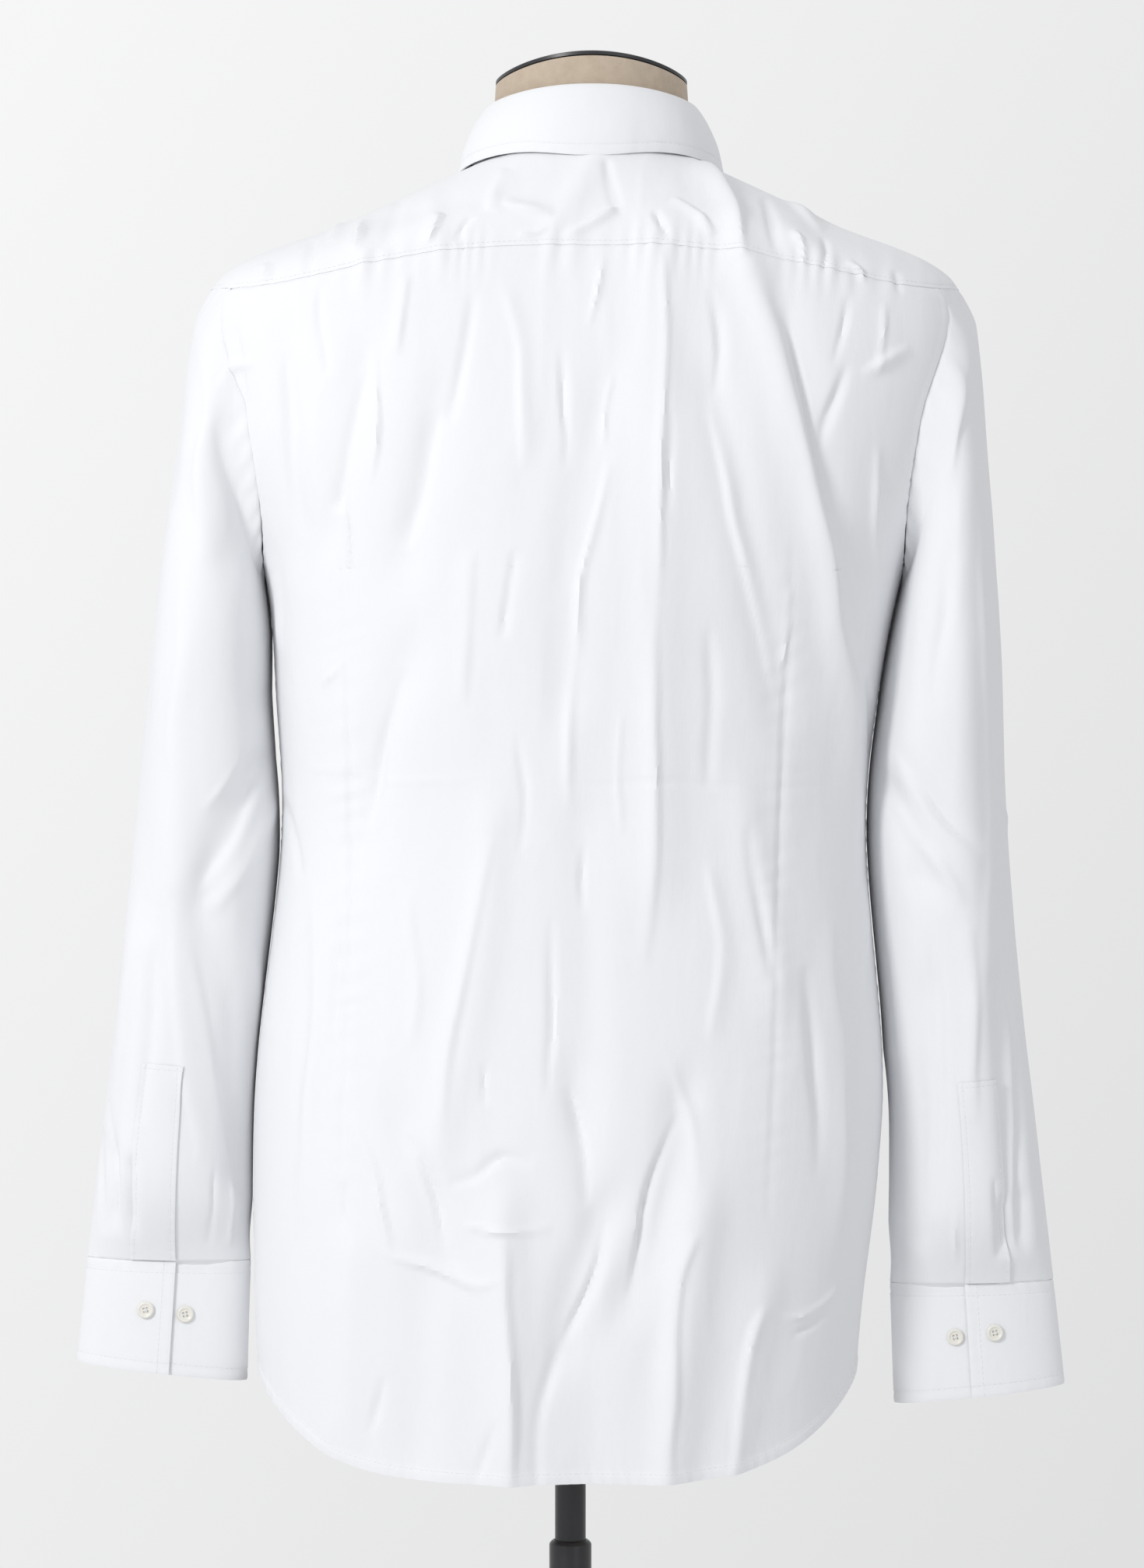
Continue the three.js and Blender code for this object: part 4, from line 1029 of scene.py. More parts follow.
BACK_FOLDS = folds(
    ("right blade", -109, 1435, -178, 1095, -9, 24, 5.5),
    ("beside right blade", -128, 1418, -150, 1315, 0, 20, -5),
    ("centre run", -52, 1450, -50, 1090, 0, 30, 5),
    ("beside centre run", -18, 1360, 4, 1190, 6, 26, -3.5),
    ("left blade", 122, 1382, 141, 1290, 0, 24, -4),
    ("left side", 170, 1395, 162, 1280, 0, 22, -3.5),
    ("left middle", 78, 1358, 98, 1270, 0, 24, -3.5),
    ("left waist", 98, 1203, 125, 1103, 4, 26, -4),
    ("right chest", -84, 1366, -123, 1188, 0, 24, -4),
    ("left of spine", 47, 1106, 78, 925, -6, 24, 4),
    ("small of back", -8, 1104, -10, 950, 0, 26, -3),
    ("right waist", -104, 1112, -121, 1014, 0, 24, 4),
    ("seat cross", -65, 944, -35, 834, -6, 22, -5),
    ("seat left", 98, 930, 73, 860, 0, 22, -4.5),
    ("seat middle", -2, 958, -12, 884, 0, 20, -3.5),
    ("seat drop", -21, 880, 6, 802, 4, 22, -5),
    ("hem ridge left", 40, 872, 36, 722, 0, 26, 7),
    ("hem ridge right", -74, 874, -57, 722, 0, 28, 8),
    ("hem hollow", -10, 800, -12, 722, 0, 34, -5),
    ("hem ridge far right", -114, 828, -95, 722, 0, 22, 4),
    ("hem hollow left", 88, 830, 92, 745, 0, 30, -4),
    ("hem ridge far left", 130, 850, 138, 752, 0, 26, 4),
)
YOKE_FOLDS = folds(
    ("pucker left", 126, 1470, 124, 1444, 0, 14, 2.5),
    ("pucker inner left", 82, 1478, 78, 1452, 0, 14, 2),
    ("pucker centre", -12, 1505, 8, 1468, 0, 16, 2.5),
    ("pucker right", -82, 1502, -102, 1448, -4, 18, 4.5),
    ("pucker far right", -136, 1462, -152, 1446, 0, 14, 2.5),
)
FRONT_FOLDS = folds(
    ("chest left", 96, 1392, 128, 1210, 8, 26, 4.5),
    ("chest left inner", 62, 1360, 70, 1180, 0, 24, -3.5),
    ("chest right", -104, 1388, -150, 1190, -8, 26, 5),
    ("chest right inner", -66, 1340, -84, 1150, 0, 24, -4),
    ("waist left", 112, 1150, 84, 980, 6, 26, -4.5),
    ("waist right", -98, 1130, -76, 960, 0, 26, -4),
    ("skirt left", 60, 1010, 78, 760, 0, 28, 5),
    ("skirt left outer", 122, 960, 130, 770, 0, 28, -5),
    ("skirt right", -70, 990, -62, 750, 0, 28, 5.5),
    ("skirt right outer", -116, 930, -122, 765, 0, 28, -5),
)
LEFT_BACK_FOLDS = folds(
    ("armhole drag", 208, 1392, 205, 1275, -8, 16, -5),
    ("inner hollow", 188, 1330, 190, 1190, 0, 20, -4),
    ("long run", 236, 1330, 240, 1080, 6, 26, 4),
    ("elbow crease", 190, 1152, 222, 1070, 6, 16, -6),
    ("under elbow", 222, 1045, 206, 900, -6, 18, -5),
    ("forearm run", 262, 1030, 270, 900, 0, 20, 4),
    ("pleat outer", 279, 905, 281, 846, 0, 9, -4.5),
    ("pleat inner", 266, 900, 267, 846, 0, 8, -4),
)
RIGHT_BACK_FOLDS = folds(
    ("armhole drag", -216, 1396, -214, 1300, -6, 16, 5),
    ("armhole hollow", -203, 1390, -200, 1260, 0, 16, -6),
    ("long run", -240, 1320, -247, 1015, 4, 24, 4),
    ("elbow crease", -186, 1150, -214, 1084, -6, 16, -6),
    ("outer forearm", -262, 1016, -268, 858, 0, 14, -5.5),
    ("inner forearm", -216, 1010, -212, 880, 0, 20, -4),
    ("pleat outer", -277, 892, -279, 834, 0, 9, -4.5),
    ("pleat inner", -263, 888, -264, 834, 0, 8, -4),
)
LEFT_FRONT_FOLDS = folds(
    ("armhole drag", 212, 1380, 216, 1270, 6, 18, -5),
    ("elbow crease", 250, 1140, 200, 1085, 0, 16, -6),
    ("elbow fold", 258, 1090, 204, 1040, 0, 16, 4),
    ("forearm run", 236, 1020, 244, 880, 0, 22, -5),
)
RIGHT_FRONT_FOLDS = folds(
    ("armhole drag", -216, 1376, -214, 1262, 6, 18, -5),
    ("elbow crease", -252, 1128, -202, 1076, 0, 16, -6),
    ("elbow fold", -256, 1080, -204, 1030, 0, 16, 4),
    ("forearm run", -238, 1012, -246, 870, 0, 22, -5),
)
BACK_CREASES = creases(
    Profile.LEAN_RIGHT,
    ("blade ridge", 8.5, 2.64, -109, 1435, -127, 1388, -144, 1318, -155, 1244, -167, 1179, -179, 1095),
    ("spine step upper", 4.7, 1.8, -55, 1455, -57, 1397, -53, 1328, -52, 1244),
    ("spine step lower", 6.3, 1.56, -52, 1253, -49, 1179, -49, 1086, -44, 1026),
    ("upper crease b", 3.4, 1.44, 116, 1395, 114, 1353, 119, 1314),
    ("middle trough", 7.9, -2.16, 77, 1356, 86, 1309, 98, 1272),
    ("lower ridge", 7.2, 1.7, 47, 1105, 58, 1049, 70, 979, 77, 928),
    ("lower dark", 3.7, -1.56, 10, 1054, 11, 1003, 11, 947),
    ("seat crease b", 4.7, -2.16, 0, 956, -6, 933, -9, 914, -11, 886),
    ("seat diagonal", 4.2, 1.68, 128, 937, 116, 905, 110, 882, 104, 859),
    ("hem ridge middle", 6.9, 3.12, 40, 868, 35, 817, 33, 770, 34, 714),
    ("hem boundary", 6.9, 2.64, -74, 872, -63, 840, -59, 789, -58, 714),
    ("hem tick mid", 4.2, -1.2, 42, 761, 48, 742, 55, 719),
    ("right skirt soft", 8.5, 1.92, -155, 1049, -162, 979, -165, 910, -160, 845),
    ("under yoke a", 4.7, 1.44, 96, 1437, 98, 1416, 103, 1388),
    ("mid back faint a", 7.4, 1.2, 58, 1272, 62, 1226, 65, 1179),
) + creases(
    Profile.ROUND,
    ("beside blade", 6.3, -2.4, -127, 1421, -133, 1379, -147, 1323, -155, 1277),
    ("spine run low", 5.8, 1.2, -3, 1212, 2, 1165, -1, 1114),
    ("left trough a", 7.4, -2.16, 121, 1379, 134, 1318, 140, 1295),
    ("left side a", 5.3, -1.56, 202, 1411, 198, 1374, 199, 1337),
    ("waist trough left", 6.9, -2.16, 98, 1202, 114, 1151, 123, 1105),
    ("right drag shade", 6.3, -1.92, -165, 1386, -156, 1360, -148, 1332),
    ("armhole drag left", 5.3, 1.68, 219, 1379, 205, 1386, 189, 1387),
    ("small of back", 3.7, -1.2, -9, 1100, -8, 1082, -7, 1058),
    ("hem sweep low", 7.4, -1.68, 6, 807, 17, 766, 20, 714),
    ("seat right thin", 6.2, 1.1, -58, 975, -68, 951, -74, 928, -76, 896),
    ("right seat soft", 6.9, -1.68, -104, 1109, -111, 1063, -120, 1016),
    ("hem tick left", 4.7, -1.32, 110, 784, 114, 768, 120, 747),
    ("hem right b", 3.7, -1.2, -155, 820, -144, 811, -131, 805),
    ("right skirt trough", 7.4, -1.8, -141, 1026, -146, 970, -148, 900),
    ("left skirt trough", 5.3, -1.2, 137, 1063, 138, 1012, 140, 956),
    ("shoulder blade mid", 6.3, -1.56, 58, 1425, 63, 1388, 72, 1346),
    ("under yoke b", 4.2, -1.32, 151, 1430, 149, 1407, 144, 1379),
    ("under yoke d", 4.2, -1.44, -165, 1428, -162, 1407, -155, 1384),
    ("under yoke e", 3.7, 1.32, -188, 1423, -187, 1402, -183, 1379),
    ("mid back faint b", 6.9, -1.32, -81, 1226, -83, 1179, -81, 1128),
    ("mid back faint c", 6.9, 1.2, 96, 1072, 91, 1026, 93, 979),
    ("mid back faint e", 4.7, -1.08, 31, 1165, 27, 1128, 30, 1095),
    ("left edge a", 5.3, -1.44, 177, 1128, 168, 1105, 161, 1077),
    ("left edge b", 5.3, 1.44, 184, 1277, 177, 1244, 175, 1212),
    ("right edge a", 5.3, 1.56, -183, 1337, -182, 1295, -187, 1253),
    ("right edge b", 4.7, -1.2, -176, 1202, -183, 1165, -188, 1128),
) + creases(
    Profile.CREST,
    ("spine crease a", 3.4, -1.08, -60, 1356, -59, 1323, -58, 1291),
    ("spine crease b", 3.4, 1.08, -24, 1374, -21, 1356, -21, 1332),
    ("upper crease c", 3.4, -1.2, 136, 1309, 133, 1281, 130, 1253),
    ("waist crease left", 3.4, 1.32, 149, 1193, 142, 1199, 133, 1208),
    ("right waist crease", 3.4, 1.2, -130, 1253, -129, 1226, -127, 1202),
    ("seat crease a", 3.4, -1.2, 51, 970, 51, 958, 51, 944),
    ("seat level ridge", 4.2, 1.8, 63, 875, 38, 872, 10, 872),
    ("left seat drop", 3.7, -1.2, 133, 900, 134, 886, 134, 868),
    ("hem right a", 3.7, 1.32, -162, 835, -151, 824, -137, 817, -126, 816),
    ("under yoke c", 4.2, 1.32, -21, 1449, -18, 1425, -12, 1402),
    ("mid back faint f", 3.7, 0.96, -30, 1179, -28, 1137, -31, 1105),
    ("packing crease level a", 3.4, 0.42, 184, 1140, 142, 1142, 96, 1137, 40, 1140),
    ("packing crease level b", 3.4, -0.42, 12, 1132, -44, 1134, -100, 1131, -169, 1134),
) + creases(
    Profile.LEAN_LEFT,
    ("spine run", 3.7, 1.92, -23, 1323, -10, 1272, -4, 1244, -3, 1207),
    ("upper crease a", 3.4, -1.44, 5, 1393, 4, 1360, 5, 1318),
    ("left trough b", 7.4, -2.16, 170, 1393, 169, 1337, 163, 1281),
    ("right drag", 6.3, 1.92, -83, 1365, -93, 1309, -109, 1244, -123, 1188),
    ("waist crease mid", 4.2, -1.32, 33, 1272, 36, 1244, 40, 1221),
    ("armhole drag right", 6.3, 2.16, -204, 1397, -190, 1390, -174, 1379),
    ("seat crease c", 4.7, -2.16, 98, 928, 84, 896, 74, 859),
    ("seat cross", 4.2, -1.56, 72, 896, 56, 903, 40, 914, 21, 910),
    ("hem diagonal", 4.2, 1.56, 112, 859, 84, 848, 58, 838, 40, 844),
    ("hem sweep", 4.7, -2.16, -21, 879, -14, 849, -2, 821, 6, 803),
    ("seat right dark", 4.2, -2.64, -65, 942, -48, 900, -40, 863, -34, 831),
    ("hem right c", 5.3, 1.92, -113, 826, -104, 803, -98, 766, -95, 719),
    ("left skirt soft", 8.5, 1.8, 154, 1072, 151, 1012, 156, 947, 161, 872),
    ("shoulder blade left", 6.3, 1.44, 40, 1430, 31, 1393, 27, 1356, 30, 1318),
    ("blade inner", 5.3, -1.44, -83, 1430, -88, 1397, -87, 1365),
    ("mid back faint d", 6.3, 1.32, -81, 1086, -88, 1040, -83, 984),
    ("right edge c", 5.3, 1.44, -176, 1077, -179, 1030, -176, 979),
)
YOKE_CREASES = creases(
    Profile.ROUND,
    ("yoke a", 4.9, 1.95, 123, 1475, 125, 1462, 129, 1448),
    ("yoke c", 3.7, -1.8, 58, 1473, 64, 1465, 67, 1456),
    ("yoke f", 5.5, -2.25, -23, 1509, -26, 1490, -31, 1473),
    ("yoke h", 3.7, -1.95, -51, 1475, -55, 1466, -59, 1456),
    ("yoke k", 6.1, -2.25, -116, 1488, -120, 1472, -124, 1449),
    ("yoke l", 3.7, 1.8, -132, 1465, -137, 1456, -138, 1444),
    ("yoke m", 3.7, -1.8, -151, 1463, -152, 1453, -150, 1440),
    ("yoke n", 3.7, 1.95, -165, 1448, -172, 1442, -175, 1435),
    ("yoke o", 3.7, -1.5, -195, 1444, -197, 1437, -198, 1429),
    ("yoke p", 4.2, 1.65, 184, 1449, 182, 1443, 183, 1435),
    ("yoke q", 4.9, -1.8, 155, 1463, 157, 1452, 159, 1440),
    ("yoke r", 7.3, -1.8, 103, 1495, 105, 1476, 109, 1452),
    ("yoke u", 7.3, 1.65, 137, 1493, 140, 1475, 144, 1458),
) + creases(
    Profile.LEAN_RIGHT,
    ("yoke b", 4.2, 2.25, 77, 1475, 81, 1467, 86, 1456),
    ("yoke i", 4.2, 2.25, -61, 1483, -73, 1475, -79, 1470, -85, 1460),
    ("yoke j", 6.7, 3, -81, 1511, -89, 1493, -98, 1474, -103, 1446),
) + creases(
    Profile.LEAN_LEFT,
    ("yoke d", 4.9, 2.1, 40, 1481, 27, 1477, 11, 1474),
    ("yoke g", 4.2, 2.4, -32, 1481, -16, 1471, 4, 1462),
    ("yoke s", 7.3, 1.8, 40, 1504, 45, 1489, 48, 1475),
    ("yoke t", 7.3, 1.95, -127, 1497, -141, 1481, -151, 1467),
) + creases(
    Profile.CREST,
    ("yoke e", 3.7, 1.5, 14, 1466, 22, 1462, 31, 1460),
)
LEFT_SLEEVE_CREASES = creases(
    Profile.ROUND,
    ("cap drag", 8.6, -2.6, 210, 1406, 204, 1372, 209, 1344, 205, 1305, 203, 1277),
    ("cap outer", 9.4, -1.69, 240, 1387, 237, 1344, 240, 1296),
    ("inner deep", 7.2, -2.6, 184, 1324, 180, 1277, 179, 1229),
    ("elbow fold", 7.9, 2.6, 183, 1133, 195, 1104, 205, 1080, 220, 1056),
    ("outer hollow", 7.2, -2.08, 252, 1037, 254, 979, 259, 926),
    ("inner forearm", 7.2, 1.95, 199, 1046, 196, 993, 194, 945),
    ("pleat bloom", 6.5, 2.08, 285, 989, 288, 941, 287, 917),
) + creases(
    Profile.LEAN_LEFT,
    ("cap ridge", 8.6, 2.34, 223, 1406, 218, 1363, 223, 1315, 220, 1267),
    ("mid run", 10.1, 2.21, 231, 1277, 233, 1219, 239, 1161, 237, 1109),
    ("under elbow", 7.2, -2.6, 228, 1041, 220, 989, 210, 926, 199, 864),
    ("under ridge", 7.9, 2.34, 240, 1061, 239, 1008, 233, 950, 228, 902),
    ("pleat a", 3.2, -2.47, 290, 943, 289, 902, 286, 859),
    ("pleat b", 3.2, -2.21, 280, 941, 278, 897, 276, 858),
) + creases(
    Profile.LEAN_RIGHT,
    ("inner shade", 9.4, 2.6, 196, 1344, 192, 1296, 190, 1248, 189, 1190),
    ("elbow crease", 6.5, -3.38, 189, 1157, 202, 1123, 211, 1099, 227, 1068),
    ("outer forearm", 8.6, 2.08, 263, 1075, 268, 1017, 275, 960, 281, 917),
) + creases(
    Profile.CREST,
    ("elbow small", 5, 1.69, 204, 1152, 214, 1133, 223, 1118),
    ("gather a", 3.6, -1.69, 220, 902, 219, 878, 220, 850),
    ("gather b", 3.6, 1.56, 208, 893, 208, 869, 208, 848),
)
RIGHT_SLEEVE_CREASES = creases(
    Profile.LEAN_LEFT,
    ("cap hollow", 5.8, -3.38, -223, 1413, -224, 1363, -216, 1305, -211, 1257),
    ("soft run", 9.4, 2.21, -245, 1324, -249, 1248, -252, 1171, -254, 1094, -252, 1013),
    ("elbow crease", 6.5, -3.12, -204, 1157, -216, 1133, -230, 1109, -246, 1092),
    ("long outer", 5, -2.99, -268, 1015, -272, 960, -275, 902, -276, 849),
    ("gather a", 3.6, -2.21, -257, 897, -258, 873, -260, 845),
) + creases(
    Profile.LEAN_RIGHT,
    ("cap ridge", 6.5, 2.99, -234, 1408, -238, 1372, -233, 1344, -228, 1310),
    ("mid forearm", 7.9, 2.21, -242, 1051, -245, 989, -243, 926),
    ("gather b", 3.2, -2.21, -290, 921, -291, 888, -292, 849),
) + creases(
    Profile.ROUND,
    ("cap outer", 8.6, -1.95, -252, 1401, -254, 1353, -251, 1305),
    ("outer run", 10.1, -1.69, -268, 1305, -272, 1238, -274, 1171),
    ("inner run", 6.5, -2.08, -227, 1277, -226, 1229, -222, 1181),
    ("elbow fold", 7.2, 2.47, -199, 1128, -211, 1104, -224, 1080, -238, 1061),
    ("long outer ridge", 7.9, 2.21, -280, 1037, -286, 974, -290, 917),
    ("inner long", 7.2, -2.34, -220, 1046, -223, 989, -226, 931, -223, 873),
) + creases(
    Profile.CREST,
    ("elbow small", 5.8, 1.69, -254, 1133, -265, 1113, -272, 1099),
    ("gather c", 3.2, 1.56, -297, 917, -298, 883, -299, 849),
    ("gather d", 3.6, 1.56, -235, 883, -235, 859, -234, 840),
)

FRONT_CREASES = creases(
    Profile.LEAN_LEFT,
    ("left collar drag", 9.6, 1.65, 60, 1440, 84, 1400, 112, 1350, 138, 1290),
    ("left waist pull", 10.4, 1.87, 150, 1190, 130, 1130, 120, 1060, 126, 980),
    ("left skirt run", 9.6, 1.98, 66, 1000, 72, 920, 60, 840, 64, 730),
    ("left hip diagonal", 6.4, 1.21, 130, 1010, 108, 975, 80, 955),
    ("right armhole drag", 8.8, 1.87, -190, 1390, -176, 1346, -170, 1296),
    ("right middle run", 7.2, -1.43, -44, 1230, -52, 1150, -48, 1060, -58, 975),
    ("right skirt side", 8.8, 1.43, -140, 920, -132, 850, -138, 785),
) + creases(
    Profile.ROUND,
    ("left chest run", 8, -1.54, 96, 1416, 106, 1350, 102, 1280, 112, 1200),
    ("left armhole hollow", 8, -1.65, 188, 1350, 172, 1300, 166, 1250),
    ("left skirt dark", 8, -1.76, 100, 960, 96, 880, 104, 800, 100, 735),
    ("right chest run", 8.8, -1.65, -104, 1410, -112, 1340, -122, 1270, -118, 1196),
    ("right armhole hollow", 8, -1.65, -200, 1346, -188, 1296, -184, 1240),
    ("right skirt dark", 8, -1.65, -96, 950, -104, 870, -98, 790, -102, 735),
) + creases(
    Profile.CREST,
    ("left pocket level", 5.6, 1.1, 44, 1330, 58, 1300, 60, 1250),
    ("left waist crease", 5.6, -1.21, 92, 1160, 84, 1105, 90, 1050),
    ("left hem tick", 5.6, -1.1, 40, 860, 36, 800, 40, 735),
    ("right pocket level", 4.8, -1.1, -50, 1350, -60, 1306, -56, 1262),
    ("right waist crease", 5.6, 1.1, -96, 1150, -90, 1100, -98, 1040),
    ("pull at second button", 4.8, 0.88, 20, 1312, 46, 1320, 78, 1338),
    ("pull at third button", 4.8, 0.88, -20, 1214, -48, 1206, -80, 1212),
    ("pull at fourth button", 4.8, 0.88, 20, 1122, 44, 1112, 70, 1098),
    ("pull at fifth button", 4.8, -0.77, -20, 1026, -44, 1036, -66, 1050),
) + creases(
    Profile.LEAN_RIGHT,
    ("left armhole drag", 8.8, 1.76, 176, 1392, 160, 1352, 152, 1300),
    ("left middle run", 7.2, 1.43, 42, 1210, 50, 1130, 44, 1040, 52, 960),
    ("left skirt side", 9.6, 1.54, 142, 930, 148, 860, 140, 790),
    ("right collar drag", 9.6, 1.76, -74, 1442, -100, 1398, -124, 1345, -152, 1284),
    ("right waist pull", 10.4, 1.76, -158, 1180, -140, 1120, -128, 1050, -132, 965),
    ("right skirt run", 10.4, 2.09, -68, 990, -60, 905, -70, 820, -62, 730),
    ("right hip diagonal", 6.4, -1.21, -134, 1000, -112, 968, -84, 950),
)


def mirrored(creases: tuple[Crease, ...], lower: float, share: float) -> tuple[Crease, ...]:
    """Takes creases over to the other side of the middle plane.

    Args:
        creases: The creases.
        lower: How far they move down.
        share: Share of their height that they keep.

    Returns:
        The creases of the other side.
    """
    swap = {Profile.LEAN_LEFT: Profile.LEAN_RIGHT, Profile.LEAN_RIGHT: Profile.LEAN_LEFT}
    return tuple(
        Crease(
            crease.name,
            tuple((-x, z - lower) for x, z in crease.line),
            crease.width * (2 - share),
            crease.height * share,
            swap.get(crease.profile, crease.profile),
        )
        for crease in creases
    )


BACK_RELIEF = Relief(BACK_FOLDS + YOKE_FOLDS, BACK_CREASES + YOKE_CREASES, 11, strength=1.45)
FRONT_RELIEF = Relief(FRONT_FOLDS, FRONT_CREASES, 31, strength=1.25)


@dataclass(frozen=True)
class ArmSide:
    """One arm of the shirt.

    Attributes:
        side: "left" or "right", as the wearer has it.
        sign: 1 on the wearer's left, -1 on the right.
        drop: How much lower this sleeve hangs.
        behind: Relief of the sleeve's back.
        ahead: Relief of the sleeve's front.
        side_gap: Distance that it keeps from the torso's side, as pairs of height and distance.
    """

    side: str
    sign: float
    drop: float
    behind: Relief
    ahead: Relief
    side_gap: tuple[tuple[float, float], ...]


ARMS = (
    ArmSide(
        "left",
        1.0,
        0.0,
        Relief(LEFT_BACK_FOLDS, LEFT_SLEEVE_CREASES, 51),
        Relief(LEFT_FRONT_FOLDS, mirrored(RIGHT_SLEEVE_CREASES, -9, 0.9), 61),
        ((830, 1.0), (1090, 1.0), (1150, 3.4), (1190, 3.0), (1225, 1.0), (1290, 1.0)),
    ),
    ArmSide(
        "right",
        -1.0,
        14.0,
        Relief(RIGHT_BACK_FOLDS, RIGHT_SLEEVE_CREASES, 71),
        Relief(RIGHT_FRONT_FOLDS, mirrored(LEFT_SLEEVE_CREASES, 11, 0.85), 81),
        ((830, 14.0), (880, 9.0), (970, 1.4), (1100, 1.0), (1290, 1.0)),
    ),
)


def smooth_rows(rows: np.ndarray, places: np.ndarray) -> np.ndarray:
    """Draws smooth lines through a few rows of places that are unevenly far apart.

    Args:
        rows: The rows, each of many places.
        places: Where to read the lines, from 0 at the first row to 1 at the last, by length.

    Returns:
        One row for each place.
    """
    steps = np.linalg.norm(np.diff(rows, axis=0), axis=-1).mean(axis=1)
    knots = np.concatenate([[0.0], np.cumsum(steps)])
    slopes = np.diff(rows, axis=0) / steps[:, None, None]
    before, after = steps[:-1, None, None], steps[1:, None, None]
    middle = (after * slopes[:-1] + before * slopes[1:]) / (before + after)
    tangents = np.concatenate([slopes[:1], middle, slopes[-1:]])
    where = places * knots[-1]
    index = np.clip(np.searchsorted(knots, where, side="right") - 1, 0, len(steps) - 1)
    step = steps[index][:, None, None]
    t = ((where - knots[index]) / steps[index])[:, None, None]
    start, end = rows[index], rows[index + 1]
    first, last = tangents[index] * step, tangents[index + 1] * step
    return (
        (2 * t**3 - 3 * t**2 + 1) * start
        + (t**3 - 2 * t**2 + t) * first
        + (-2 * t**3 + 3 * t**2) * end
        + (t**3 - t**2) * last
    )


def outward_grid(points: np.ndarray, centre: np.ndarray, closed: bool = False) -> Grid:
    """Makes a grid whose directions point away from a middle line.

    Args:
        points: Places, rows by columns by 3.
        centre: Place or places (x, y, z) that the cloth goes round.
        closed: Whether the last column meets the first.

    Returns:
        The grid.
    """
    grid = Grid(points, closed)
    if ((points - centre) * grid.normals).sum() < 0:
        grid.sign = -1.0
        grid.turn()
    return grid


def body_levels(first: float, last: float, angle: float, fine: float, coarse: float) -> np.ndarray:
    """Shares out levels of the body by length.

    Args:
        first: The lowest level.
        last: The highest level.
        angle: Where round the body the length is measured.
        fine: Step at the ends in millimetres.
        coarse: Step in the middle in millimetres.

    Returns:
        The levels.
    """
    samples = np.linspace(first, last, 500)
    line = BODY.point(np.full(500, angle), samples)
    lengths = np.concatenate([[0.0], np.cumsum(np.linalg.norm(np.diff(line, axis=0), axis=-1))])
    return np.interp(graded(lengths[-1], fine, coarse, 13.0) * lengths[-1], lengths, samples)


def levels_for(distance: float, level: float) -> float:
    """Turns a distance up the torso's back into levels.

    Args:
        distance: The distance in millimetres.
        level: Where it starts.

    Returns:
        The distance in levels.
    """
    ends = BODY.point(np.full(2, math.pi / 2), np.array([level, level + 0.05]))
    return 0.05 * distance / float(np.linalg.norm(ends[1] - ends[0]))


def side_reach(sign: float, height: np.ndarray) -> np.ndarray:
    """Distance of the torso's side from the middle plane.

    Args:
        sign: 1 on the wearer's left, -1 on the right.
        height: Heights in millimetres.

    Returns:
        The distances.
    """
    levels = np.linspace(0, ARMPIT, 80)
    line = body_place(np.full(80, 0.0 if sign > 0 else math.pi), levels)
    return np.interp(height, line[:, 2], np.abs(line[:, 0]))


def with_armpit_rows(levels: np.ndarray) -> np.ndarray:
    """Adds rows over the armpit, where the armhole's edge runs almost level.

    Args:
        levels: Rising levels of the torso.

    Returns:
        The levels, with a multiple of 4 between the first and the last.
    """
    added = ARMPIT + 1 - np.cos(np.linspace(0, 0.55, 17))
    kept = levels[(levels < added[0] - 0.004) | (levels > added[-1] + 0.004)]
    rows = np.sort(np.concatenate([kept, added]))
    count = 4 * round((len(rows) - 1) / 4) + 1
    return np.interp(np.linspace(0, len(rows) - 1, count), np.arange(len(rows)), rows)


@dataclass
class CutSize:
    """The flat piece of cloth that a panel was cut from.

    Attributes:
        width: Width of the cut in metres.
        length: Length of the cut in metres.
        area: Flat area of the cut's shape in square metres.
    """

    width: float
    length: float
    area: float


@dataclass
class Panel:
    """A sewn piece of cloth that replaces a node of the frame.

    Attributes:
        name: The piece's name.
        node: The node that it replaces.
        grid: Its outer face.
        cut: The flat piece that it was cut from; not used.
        wall: Thickness of its wall in millimetres.
        held: How the cloth is held; not used.
        rests_on: What it hangs on; not used.
        inner_step: Rows and columns of the outer face for one of the inner face.
    """

    name: str
    node: str
    grid: Grid
    cut: CutSize
    wall: float = CLOTH_WALL
    held: str = "hung"
    rests_on: tuple[str, ...] = ("dress_form",)
    inner_step: int = 2

    def dress(self, material: bpy.types.Material) -> bpy.types.Object:
        """Makes the piece, hides the node that it replaces and logs its faces and shown area.

        Args:
            material: Its finish.

        Returns:
            The piece.
        """
        mesh = wall_mesh(self.name, self.grid, self.wall, self.inner_step)
        piece = add_piece(self.name, mesh, material, BODY_NAME)
        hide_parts(self.node)
        points = self.grid.points
        if self.grid.closed:
            points = np.concatenate([points, points[:, :1]], axis=1)
        across = np.cross(points[1:, 1:] - points[:-1, :-1], points[1:, :-1] - points[:-1, 1:])
        LOG.info("%s: shown area %.4f m2", self.name, np.linalg.norm(across, axis=-1).sum() / 2 * MM * MM)
        return piece


